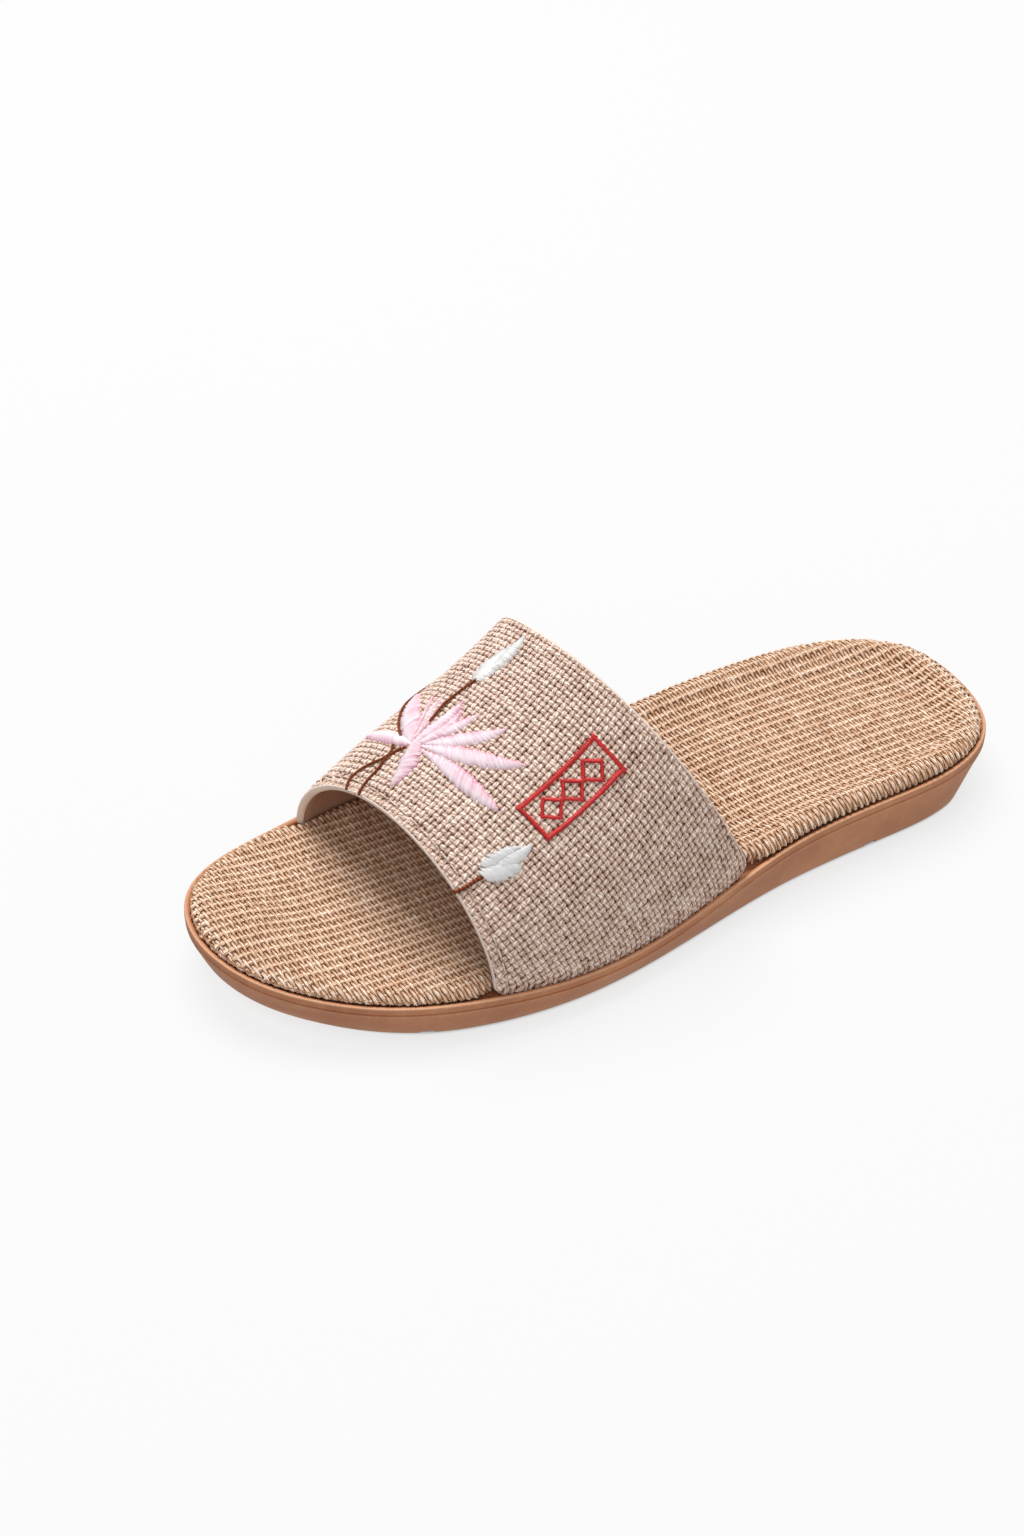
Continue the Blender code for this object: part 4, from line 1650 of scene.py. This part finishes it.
@dataclass
class Linen:
    """The strap's face: a plain weave of two slubby yarns, pressed flat along its stitched hem."""

    strap: Strap
    warp_pitch: float = 1.54
    warp_spread: float = 0.0077
    warp_wave: float = 0.34
    warp_numbers: Span = (-53, 53)
    weft_pitch: float = 1.76
    weft_closing: float = 0.003
    weft_wave: float = 0.30
    weft_numbers: Span = (-28, 29)
    run_step: float = 0.25
    run_pitch: float = 1.75
    fullness: float = 0.48
    half_height: float = 0.36
    mid_depth: float = 0.5
    # Base tint, and the spread of its painted shade: darker where a yarn dips under the other, lighter where
    # it rides over.
    tint: Pair = (0.60, 0.36)
    flank_shade: float = 0.55
    yarn_slubs: Span = (40, 11)
    front_press: float = 0.4
    rear_press: float = 0.3
    yarn_sides: int = 5
    hem: float = 2.5
    hem_groove: float = 0.5
    hem_spread: float = 0.45
    rear_hem: float = 3.0
    foot_reach: float = 0.8
    stitch_pitch: float = 4.6
    stitch_length: float = 3.9
    stitch_tint: float = 0.75
    stitch_half: Pair = (0.27, 0.25)
    stitch_depth: float = 0.65
    stitch_rise: float = 0.72
    stitch_samples: int = 11
    stitch_sides: int = 6
    stitch_flank_shade: float = 0.2
    seed: int = 41
    yarn: YarnFinish = YarnFinish("linen_yarn", "#724D3C", "#CBAB98", "#FAE9DE", 5.0, 0.35, 0.8)
    thread: YarnFinish = YarnFinish("hem_thread", "#8F705C", "#D2BAA8", "#F7EADE", 2.0, 1.2, 0.5)

    def across_at(self, count: Array) -> tuple[Array, Array]:
        """Place of a lengthwise yarn across the cloth by its number, and the pitch, wider down the sides."""
        wider = self.warp_spread * np.abs(count)
        return count * (self.warp_pitch + wider), self.warp_pitch + 2.0 * wider

    def along_at(self, count: Array) -> tuple[Array, Array]:
        """Place of a crosswise yarn along the cloth by its number, and the pitch, closer to the rear."""
        closer = self.weft_closing * count
        return count * (self.weft_pitch - closer), self.weft_pitch - 2.0 * closer

    def yarns(self, family: Weave) -> YarnPaths:
        """One yarn family: a flattened cosine wave over and under the other, laid on the band, slubby.

        The crosswise yarns run nearly straight and the lengthwise ones bend round them.

        Args:
            family: lengthwise or crosswise.

        Returns:
            The yarns' paths.
        """
        lengthwise = family is Weave.LENGTHWISE
        families = (self.warp_numbers, self.weft_numbers)
        own, other = families if lengthwise else families[::-1]
        number = np.arange(*own)
        run = np.arange(other[0], -other[0], self.run_step)
        seed = self.seed + 10 * family.value
        wander = slubs(seed, len(number), len(run), self.yarn_slubs[0])
        swell = slubs(seed + 1, len(number), len(run), self.yarn_slubs[1])
        level = slubs(seed + 2, len(number), 1, 1)
        turn = np.pi * (run - 0.5 + number[:, None])
        stand_at = number[:, None] + 0.5 + 0.05 * wander
        run_on = np.broadcast_to(run, stand_at.shape)
        across, across_pitch = self.across_at(stand_at if lengthwise else run_on)
        along, along_pitch = self.along_at(run_on if lengthwise else stand_at)
        bent = family.value * np.sign(np.cos(turn)) * np.abs(np.cos(turn)) ** 0.8
        wave = self.warp_wave if lengthwise else self.weft_wave
        half_width = self.fullness * (across_pitch if lengthwise else along_pitch)
        share_across, share_along = self.strap.cloth_shares(across, along)
        lengths = self.strap.run_at(share_across)
        front = share_along * lengths
        rear = (1.0 - share_along) * lengths
        below = np.minimum(share_across, 1.0 - share_across) * self.strap.arc_at(share_along)
        pressed = self.front_press * smooth_step((self.hem + 0.4 - front) / 0.8)
        pressed += self.rear_press * smooth_step((self.rear_hem - rear) / 2.0)
        groove = self.hem_groove * np.exp(-((front - self.hem) / self.hem_spread) ** 2)
        lift = wave * (1.0 - pressed) * bent - self.mid_depth - groove + 0.02 * swell
        points, facing = self.strap.place(share_across, share_along, lift)
        fold = self.strap.edge_radius * (self.strap.fold_turn + self.strap.fold_tuck)
        valid = (front > -fold) & (rear > -fold) & (below > -self.foot_reach)
        # Painted shade: the tint falls where a yarn dips under the other, less where the hem presses it flat,
        # and in the hem's groove; swell and level add random tone.
        tint = self.tint[0] + self.tint[1] * bent * (1.0 - 0.6 * pressed) - 0.45 * groove
        tint += 0.05 * swell + 0.025 * level
        wide = half_width * (1.0 + 0.08 * swell) * (1.0 + 0.08 * pressed)
        high = self.half_height * (1.0 + 0.06 * swell)
        return YarnPaths(points, facing, wide, high, valid, run * self.run_pitch, tint)

    def stitches(self) -> YarnPaths:
        """The hem's stitches: short threads end to end that rise out of the groove and dip at both ends.

        Returns:
            The stitches' paths.
        """
        arc = self.strap.arc_lengths[0]
        count = int(arc / self.stitch_pitch) - 1
        share = np.linspace(-0.5, 0.5, self.stitch_samples)
        start = (arc - count * self.stitch_pitch) / 2.0
        middle = start + (np.arange(count) + 0.5) * self.stitch_pitch
        across = (middle[:, None] + share * self.stitch_length) / arc
        rise = self.stitch_rise * np.cos(np.pi * share) ** 0.4 - self.stitch_depth
        along = self.hem / self.strap.run_at(across)
        points, facing = self.strap.place(across, along, np.broadcast_to(rise, across.shape))
        wide, high = (np.full(across.shape, half) for half in self.stitch_half)
        valid = np.ones(across.shape, dtype=bool)
        tint = self.stitch_tint + 0.1 * slubs(self.seed + 5, count, len(share), 3)
        return YarnPaths(points, facing, wide, high, valid, share * self.stitch_length, tint)

    def build(self, effects: Effects, ornament: list[Piece]) -> None:
        """Args:
            effects: the shared node groups.
            ornament: not used.
        """
        add = self.strap.last.add
        finish = self.yarn.make(effects)
        shells = [self.yarns(family).shell(self.yarn_sides, self.flank_shade) for family in Weave]
        warp = add("linen_lengthwise", shells[0], finish, Slot.STRAP)
        weft = add("linen_crosswise", shells[1], finish, Slot.STRAP)
        threads = self.stitches().shell(self.stitch_sides, self.stitch_flank_shade)
        hem = add("hem_stitches", threads, self.thread.make(effects), Slot.STRAP)


class Leaf(NamedTuple):
    """One satin-stitched leaf: base, bend and tip on the flat pattern, width, height and outline.

    The outline's half widths go as share ** base_power * (1 - share) ** tip_power. The deep colour
    lies on one side of the middle line, +1 or -1.
    """

    base: tuple[float, float]
    bend: tuple[float, float]
    tip: tuple[float, float]
    width: float
    height: float
    base_power: float
    tip_power: float
    deep_side: float


class Stem(NamedTuple):
    """One stem: the radius of its cord, and points of its line on the flat pattern."""

    radius: float
    points: tuple[tuple[float, float], ...]


# The flat pattern of the ornament: millimetres from the crest line towards the lateral side, and from
# the front edge towards the rear, on a nominal cloth of 170 by 77
PATTERN_ACROSS = 170.0
PATTERN_ALONG = 77.0
PETALS = (
    Leaf((-14.5, 22.3), (-29.0, 19.2), (-44.0, 20.8), 5.4, 0.8, 0.6, 0.8, 1.0),
    Leaf((-16.0, 25.0), (-17.6, 33.0), (-18.6, 41.5), 4.0, 0.0, 0.8, 0.6, -1.0),
    Leaf((-15.2, 22.8), (-22.3, 28.3), (-34.8, 42.0), 7.8, 0.9, 0.7, 0.9, -1.0),
    Leaf((-15.6, 23.6), (-18.8, 32.8), (-21.8, 41.8), 1.3, 0.7, 0.4, 0.6, -1.0),
    Leaf((-15.0, 24.0), (-15.0, 29.5), (-14.8, 35.0), 1.2, 0.7, 0.4, 0.6, -1.0),
    Leaf((-13.8, 22.6), (-9.9, 34.5), (-10.5, 44.8), 4.8, 0.9, 0.5, 0.8, -1.0),
    Leaf((-12.6, 23.4), (-5.8, 33.0), (-9.0, 41.6), 4.2, 0.9, 0.6, 0.8, -1.0),
    Leaf((-11.6, 24.2), (-5.7, 36.5), (-3.5, 44.0), 4.0, 0.8, 0.8, 0.9, 1.0),
    Leaf((-11.4, 24.2), (0.5, 33.0), (5.5, 46.0), 5.0, 0.8, 0.9, 0.9, 1.0),
    Leaf((-11.4, 23.2), (8.2, 31.2), (17.0, 42.2), 6.1, 0.9, 1.0, 0.95, 1.0),
    Leaf((-11.6, 22.4), (7.1, 23.2), (22.4, 25.4), 6.4, 0.9, 1.2, 0.8, 1.0),
    Leaf((-14.2, 24.2), (-8.8, 16.4), (-8.5, 7.0), 7.0, 1.0, 0.55, 0.8, 1.0),
)
BUDS = (
    Leaf((35.6, 10.6), (34.6, 16.6), (35.2, 23.4), 4.8, 0.9, 0.35, 0.6, 1.0),
    Leaf((37.6, 14.6), (37.4, 21.0), (36.4, 27.0), 4.8, 1.0, 0.3, 0.7, 1.0),
    Leaf((38.3, 8.6), (39.4, 13.6), (39.8, 20.0), 6.6, 1.2, 0.25, 0.4, 1.0),
    Leaf((-11.6, 52.8), (-11.8, 60.0), (-9.0, 71.0), 5.2, 0.9, 0.35, 0.8, 1.0),
    Leaf((-10.2, 58.6), (-8.6, 66.0), (-8.5, 75.0), 3.8, 1.0, 0.4, 0.8, 1.0),
    Leaf((-37.4, 57.2), (-38.4, 62.6), (-40.6, 68.6), 5.2, 1.1, 0.3, 0.6, 1.0),
    Leaf((-37.8, 57.6), (-41.6, 62.6), (-42.4, 72.0), 5.2, 1.3, 0.35, 0.7, 1.0),
)
STEMS = (
    Stem(0.60, ((39.4, -1.0), (39.5, 1.5), (38.8, 5.5), (38.5, 9.6))),
    Stem(0.44, ((-14.8, 32.0), (-14.8, 40.5), (-13.4, 47.2), (-11.5, 53.8))),
    Stem(0.44, ((-18.2, -1.0), (-19.3, 3.2), (-18.8, 9.0), (-19.0, 14.2), (-15.0, 20.4))),
    Stem(0.44, ((-26.0, -1.0), (-28.0, 2.2), (-25.5, 8.0), (-20.8, 12.6), (-19.2, 15.4), (-20.6, 19.0))),
    Stem(0.44, ((-20.6, 22.8), (-25.0, 25.6), (-30.8, 31.4), (-35.8, 38.5), (-37.4, 48.0), (-37.6, 58.0))),
)
PANEL = ((37.2, 32.2), (25.5, 31.0), (23.2, 63.5), (34.2, 63.5))


@dataclass
class Embroidery:
    """Satin-stitched lotus, buds, stems and a panel of diamonds on the strap's linen."""

    strap: Strap
    thread_pitch: float = 0.5
    thread_steps: float = 3.0
    ridge: float = 0.5
    slant: float = 0.45
    fray: float = 0.1
    sunk: float = -0.55
    floor: float = -0.65
    bed_sides: int = 11
    bed_under: Triple = (-0.5, 0.0, 0.5)
    tint_top: float = 1.1
    tint_edge: float = 0.46
    tint_rim: float = 0.32
    tint_tip: float = 0.26
    tint_thread: float = 0.1
    ridge_shade: float = 0.34
    curve_samples: int = 60
    blunt: float = 0.02
    stem_step: float = 0.22
    stem_lay: float = 2.6
    stem_lift: float = 0.3
    stem_swing: float = 0.2
    stem_flat: float = 0.9
    stem_tint_and_ply_shade: Pair = (0.5, 0.28)
    stem_sides: int = 8
    stem_flank_shade: float = 0.1
    bar_pitch: float = 0.8
    bar_steps: float = 4.0
    bar_width: float = 1.65
    bar_height: float = 0.6
    bar_lap: float = 0.45
    thin_bar: float = 1.35
    diamonds: int = 3
    diamond_half: float = 0.30
    diamond_gap: float = 0.012
    panel_inset: float = 0.09
    seed: int = 100
    petal_floss: SatinFinish = SatinFinish("pink_floss", "#C46A88", "#F6E3EA")
    # White floss whose grey deep colour is painted shade: it greys the buds' edges, one side, the tips and
    # the grooves between threads.
    bud_floss: SatinFinish = SatinFinish("white_floss", "#A6A5A6", "#EFEEED")
    # Its dark red, reached at the bars' edges, one side and between threads, is painted shade.
    panel_floss: SatinFinish = SatinFinish("red_floss", "#8E0D12", "#CF2522")
    stem_floss: YarnFinish = YarnFinish("stem_floss", "#4A210F", "#7C3D1E", "#A65C30", 2.0, 0.0, 0.3, 0.55)

    def lay(self, flat: Array, lift: Array) -> tuple[Array, Array]:
        """Points of the flat pattern laid on the band, at a height over its face, and the way they face."""
        return self.strap.place(0.5 - flat[..., 0] / PATTERN_ACROSS, flat[..., 1] / PATTERN_ALONG, lift)

    def satin(self, line: Array, width: Array, height: float, deep_side: float, strip: tuple[int, int],
              pitch: float) -> Shell:
        """A raised bed of parallel threads along a line, each running across it from edge to edge.

        The cross-section is an arch that dives into the cloth at both edges, and a ripple with one
        wave for each thread runs along it, slanted across. Threads differ in length and shade.

        Args:
            line: the bed's middle line on the flat pattern, in even steps of a part of a thread.
            width: the bed's width at each step.
            height: the arch's height at the widest place.
            deep_side: side of the deep colour, +1 or -1.
            strip: its strip of the bake map, and how many strips there are.
            pitch: distance between threads.

        Returns:
            The closed shell, with a tint that is deeper along one edge and towards the tip, and painted shade
            between threads with a painted highlight on their ridges.
        """
        path = unit(np.gradient(line, axis=0))
        beside = np.stack([path[:, 1], -path[:, 0]], axis=1)
        across = np.concatenate([np.cos(np.linspace(0.0, np.pi, self.bed_sides)), self.bed_under])
        under = np.arange(len(across)) >= self.bed_sides
        arch = np.where(under, 0.0, np.sqrt(1.0 - np.minimum(across ** 2, 1.0)))
        share = np.linspace(0.0, 1.0, len(line))[:, None]
        full = (width / width.max())[:, None]
        thread = running_length(line) / pitch
        random = np.random.default_rng(self.seed + len(line) + strip[0])
        noise = random.standard_normal((3, int(thread.max()) + 2))
        shade, left, right = noise[:, thread.astype(int)]
        reach = 1.0 + self.fray * np.where(across[None] > 0.0, left[:, None], right[:, None])
        half = (width[:, None] / 2.0 * (across[None] * reach))[..., None]
        flat = line[:, None] + beside[:, None] * half + path[:, None] * (self.slant * half)
        wave = np.abs(np.sin(np.pi * thread))[:, None] ** 0.7 - 0.6
        ridge = self.ridge * pitch * wave * np.sqrt(arch)[None]
        lift = self.sunk + (height * full ** 0.7 - self.sunk) * arch[None] + ridge
        edge = smooth_step(0.5 - 0.75 * deep_side * across)[None]
        rim = np.abs(across[None]) ** 4
        tint = self.tint_top - self.tint_edge * edge - self.tint_rim * rim - self.tint_tip * share ** 2
        # Painted shade between threads and painted highlight on their ridges, from the ripple's height; the
        # per-thread part is random tone.
        tint = tint + self.tint_thread * shade[:, None] + self.ridge_shade * wave
        rings = self.lay(flat, np.where(under[None], self.floor, lift))[0]
        return swept(rings, *strip, {"tint": np.broadcast_to(tint, rings.shape[:2])}).outward()

    def leaf(self, leaf: Leaf, strip: tuple[int, int]) -> Shell:
        """One leaf: a quadratic curve from base over bend to tip, as wide as its two powers make it.

        Args:
            leaf: the leaf's places and sizes.
            strip: its strip of the bake map, and how many strips there are.

        Returns:
            The leaf's shell.
        """
        share = np.linspace(0.0, 1.0, self.curve_samples)[:, None]
        base, bend, tip = (np.array(place) for place in (leaf.base, leaf.bend, leaf.tip))
        curve = (1.0 - share) ** 2 * base + 2.0 * share * (1.0 - share) * bend + share ** 2 * tip
        count = int(running_length(curve)[-1] / self.thread_pitch * self.thread_steps) + 1
        share = np.linspace(self.blunt, 1.0 - self.blunt, count)
        shape = share ** leaf.base_power * (1.0 - share) ** leaf.tip_power
        width = leaf.width * shape / shape.max()
        return self.satin(spaced(curve, count), width, leaf.height, leaf.deep_side, strip, self.thread_pitch)

    def leaves(self, table: tuple[Leaf, ...]) -> Shell:
        """All leaves of a table in one shell."""
        return Shell.joined([self.leaf(row, (lane, len(table))) for lane, row in enumerate(table)])

    def stems(self) -> YarnPaths:
        """Stems as twisted cords: two plies, as a ring whose width and height swap along the lay.

        Shorter stems are carried on to the longest one's count of samples, and that part isn't valid.

        Returns:
            The stems' paths.
        """
        lines = [smooth_path(np.array(stem.points), self.stem_step) for stem in STEMS]
        radius = np.array([[stem.radius] for stem in STEMS])
        longest = max(len(line) for line in lines)
        flat = np.stack([np.pad(line, ((0, longest - len(line)), (0, 0)), mode="edge") for line in lines])
        drift = np.arange(longest)[None] - np.array([[len(line) - 1] for line in lines])
        flat[..., 1] += np.maximum(drift, 0) * self.stem_step
        run = np.arange(longest) * self.stem_step
        ply = np.broadcast_to(np.cos(4.0 * np.pi * run / self.stem_lay), drift.shape)
        points, facing = self.lay(flat, np.full(drift.shape, self.stem_lift))
        wide = radius * (1.0 + self.stem_swing * ply)
        high = self.stem_flat * radius * (1.0 - self.stem_swing * ply)
        # Painted shade: the tint falls where the cord is wide and low, in the groove between its plies.
        tint = self.stem_tint_and_ply_shade[0] - self.stem_tint_and_ply_shade[1] * ply
        return YarnPaths(points, facing, wide, high, drift <= 0, run, tint)

    def panel(self) -> Shell:
        """The panel: four bars round it, and a row of diamonds of thinner bars inside.

        Returns:
            The panel's shell.
        """
        corner = np.array(PANEL)
        loops = [(corner, self.bar_width)]
        front = (corner[0] + corner[1]) / 2.0
        length = (corner[3] + corner[2]) / 2.0 - front
        half = (corner[0] - corner[1]) * self.diamond_half
        ends = np.linspace(self.panel_inset, 1.0 - self.panel_inset, self.diamonds + 1)
        for start, stop in zip(ends[:-1], ends[1:]):
            head = front + length * (start + self.diamond_gap)
            foot = front + length * (stop - self.diamond_gap)
            middle = (head + foot) / 2.0
            loops.append((np.array([head, middle + half, foot, middle - half]), self.thin_bar))
        bars = [(*pair, wide) for loop, wide in loops for pair in zip(loop, np.roll(loop, -1, axis=0))]
        shells = []
        for lane, (start, stop, wide) in enumerate(bars):
            lap = unit(stop - start) * wide * self.bar_lap
            count = int(np.linalg.norm(stop - start) / self.bar_pitch * self.bar_steps) + 1
            line = np.linspace(start - lap, stop + lap, count)
            strip = (lane, len(bars))
            shells.append(self.satin(line, np.full(count, wide), self.bar_height, 1.0, strip, self.bar_pitch))
        return Shell.joined(shells)

    def build(self, effects: Effects) -> list[Piece]:
        """Make the stems, petals, buds and the panel.

        Args:
            effects: the shared node groups.

        Returns:
            The ornament's pieces.
        """
        shells = (
            ("stems", self.stems().shell(self.stem_sides, self.stem_flank_shade), self.stem_floss),
            ("lotus_petals", self.leaves(PETALS), self.petal_floss),
            ("buds", self.leaves(BUDS), self.bud_floss),
            ("diamond_panel", self.panel(), self.panel_floss),
        )
        add = self.strap.last.add
        return [add(name, shell, floss.make(effects), Slot.STRAP) for name, shell, floss in shells]


class Lamp(NamedTuple):
    """One square soft light: its name, its place and width in metres, and its power in watts."""

    name: str
    place: Triple
    width: float
    power: float


LAMPS = (Lamp("key", (-0.1, -0.7, 1.5), 1.0, 32.0), Lamp("fill", (0.5, 1.2, 1.0), 1.4, 8.0))
# Rings of shade under the sole: how far inside the tread's edge, in millimetres, and how dark
SHADE_RINGS = ((5.0, 1.0), (0.4, 0.92), (-0.2, 0.5), (-1.2, 0.08), (-7.0, 0.0))


def aim(piece: Piece, place: Array, toward: Array) -> None:
    """Put a camera or light at a place in metres, looking in a direction."""
    piece.location = place
    piece.rotation_euler = Vector(toward).to_track_quat("-Z", "Y").to_euler()


def by_camera(tree: Tree, unseen: float, seen: float) -> Socket:
    """One strength for the light thrown on things, and another for what the camera sees directly."""
    path = node(tree, "ShaderNodeLightPath", {})
    return node(tree, "ShaderNodeMapRange", {0: path.outputs["Is Camera Ray"], 3: unseen, 4: seen}).outputs[0]


@dataclass
class Studio:
    """Pale floor, soft light and the camera at the photograph's angle to the shoe."""

    last: Last
    azimuth: float = 58.93
    elevation: float = 43.15
    distance: float = 789.8
    focal: float = 2613.0
    target: Triple = (130.0, 0.0, 10.0)
    target_pixel: Pair = (604.9, 827.3)
    frame_size: Pair = (1024.0, 1536.0)
    reach: float = 3000.0
    clearance: float = 0.1
    peek: float = 1.15
    world_strength: float = 0.32
    backdrop: float = 0.96
    bounce: float = 0.5
    glow: float = 0.825
    paper_grey: float = 0.10
    paper_roughness: float = 0.9
    paper_gloss: float = 0.1

    def camera(self) -> None:
        """A camera at the photograph's place, turned so that the target falls on its own pixel."""
        turn, rise = np.radians([self.azimuth, self.elevation])
        back = np.array([np.cos(rise) * np.cos(turn), np.cos(rise) * np.sin(turn), np.sin(rise)])
        right = unit(np.cross(-back, [0.0, 0.0, 1.0]))
        up = np.cross(right, -back)
        off = (np.array(self.target_pixel) - np.array(self.frame_size) / 2.0) / self.focal * self.distance
        eye = np.array(self.target) + back * self.distance
        middle = np.array(self.target) - right * off[0] + up * off[1]
        data = bpy.data.cameras.new("camera")
        data.lens = self.focal * data.sensor_width / max(self.frame_size)
        camera = stand("camera", data)
        aim(camera, (eye - self.last.centre) * MM, middle - eye)
        bpy.context.scene.camera = camera

    def paper(self) -> Material:
        """The floor's material: it looks brighter than the light it throws back, and dark where shaded.

        Returns:
            The material.
        """
        material, tree, shader = blank_material("floor_paper")
        glow = by_camera(tree, self.bounce, self.glow)
        shaded = node(tree, "ShaderNodeMapRange", {0: point_value(tree, "shade"), 3: glow, 4: 0.0})
        feed(tree, shader, {
            "Base Color": grey(self.paper_grey),
            "Emission Color": grey(1.0),
            "Emission Strength": shaded.outputs[0],
            "Roughness": self.paper_roughness,
            "Specular IOR Level": self.paper_gloss,
        })
        return material

    def shade_sheet(self) -> tuple[Array, list[Array], Array]:
        """A sheet on the floor under the tread, as rings of the tread's edge.

        Where the sole is raised, the rings are drawn in by what the camera sees under it.

        Returns:
            The sheet's points, faces and shades.
        """
        last = self.last
        edge = Outsole(last).wall()[0][0, :, :2]
        drawn = last.underside()[:, None] * self.peek
        rings = [edge + last.inward * (drawn + inset) for inset, _ in SHADE_RINGS]
        points = np.concatenate(rings)
        index = np.arange(len(points)).reshape(len(rings), -1)
        faces = [grid_quads(index, closed=True), *(part[:, ::-1] for part in last.rung_quads(index[0]))]
        height = np.full(len(points), -self.clearance)
        shades = np.repeat([shade for _, shade in SHADE_RINGS], len(edge))
        return np.column_stack([points, height]) - last.centre, faces, shades

    def floor(self) -> None:
        """A wide pale floor just under the shoe, and on it the sheet that is dark under the tread."""
        square = np.array([(-1.0, -1.0), (1.0, -1.0), (1.0, 1.0), (-1.0, 1.0)]) * self.reach
        wide = np.column_stack([square, np.full(4, -2.0 * self.clearance)])
        sheets = {"floor": (wide, [np.arange(4)[None]], np.zeros(4)), "floor_shade": self.shade_sheet()}
        paper = self.paper()
        for name, (points, faces, shades) in sheets.items():
            mesh = bpy.data.meshes.new(name)
            mesh.from_pydata((points * MM).tolist(), [], [face for part in faces for face in part.tolist()])
            set_value(mesh, "shade", shades)
            mesh.materials.append(paper)
            stand(name, mesh)

    def lamp(self, lamp: Lamp) -> None:
        """A square soft light, aimed at the shoe.

        Args:
            lamp: the light's name, place, width and power.
        """
        data = bpy.data.lights.new(lamp.name, "AREA")
        data.size = lamp.width
        data.energy = lamp.power
        aim(stand(lamp.name, data), lamp.place, -np.array(lamp.place))

    def build(self) -> None:
        """Set the stage: floor, world, lights, camera and plain colour handling."""
        self.floor()
        scene = bpy.context.scene
        scene.world = bpy.data.worlds.new("studio")
        scene.world.use_nodes = True
        tree = scene.world.node_tree
        strength = by_camera(tree, self.world_strength, self.backdrop)
        feed(tree, tree.nodes["Background"], {"Color": grey(1.0), "Strength": strength})
        for lamp in LAMPS:
            self.lamp(lamp)
        self.camera()
        scene.view_settings.view_transform = "Standard"


def main() -> None:
    """Build the sandal from the sole up, and then the studio round it."""
    logging.basicConfig(level=logging.INFO, format="%(name)s: %(message)s")
    effects = Effects()
    last = Last()
    Outsole(last).build(effects)
    Footbed(last).build(effects)
    strap = Strap(last)
    strap.build(effects)
    ornament = Embroidery(strap).build(effects)
    Linen(strap).build(effects, ornament)
    Studio(last).build()


if __name__ == "__main__":
    main()
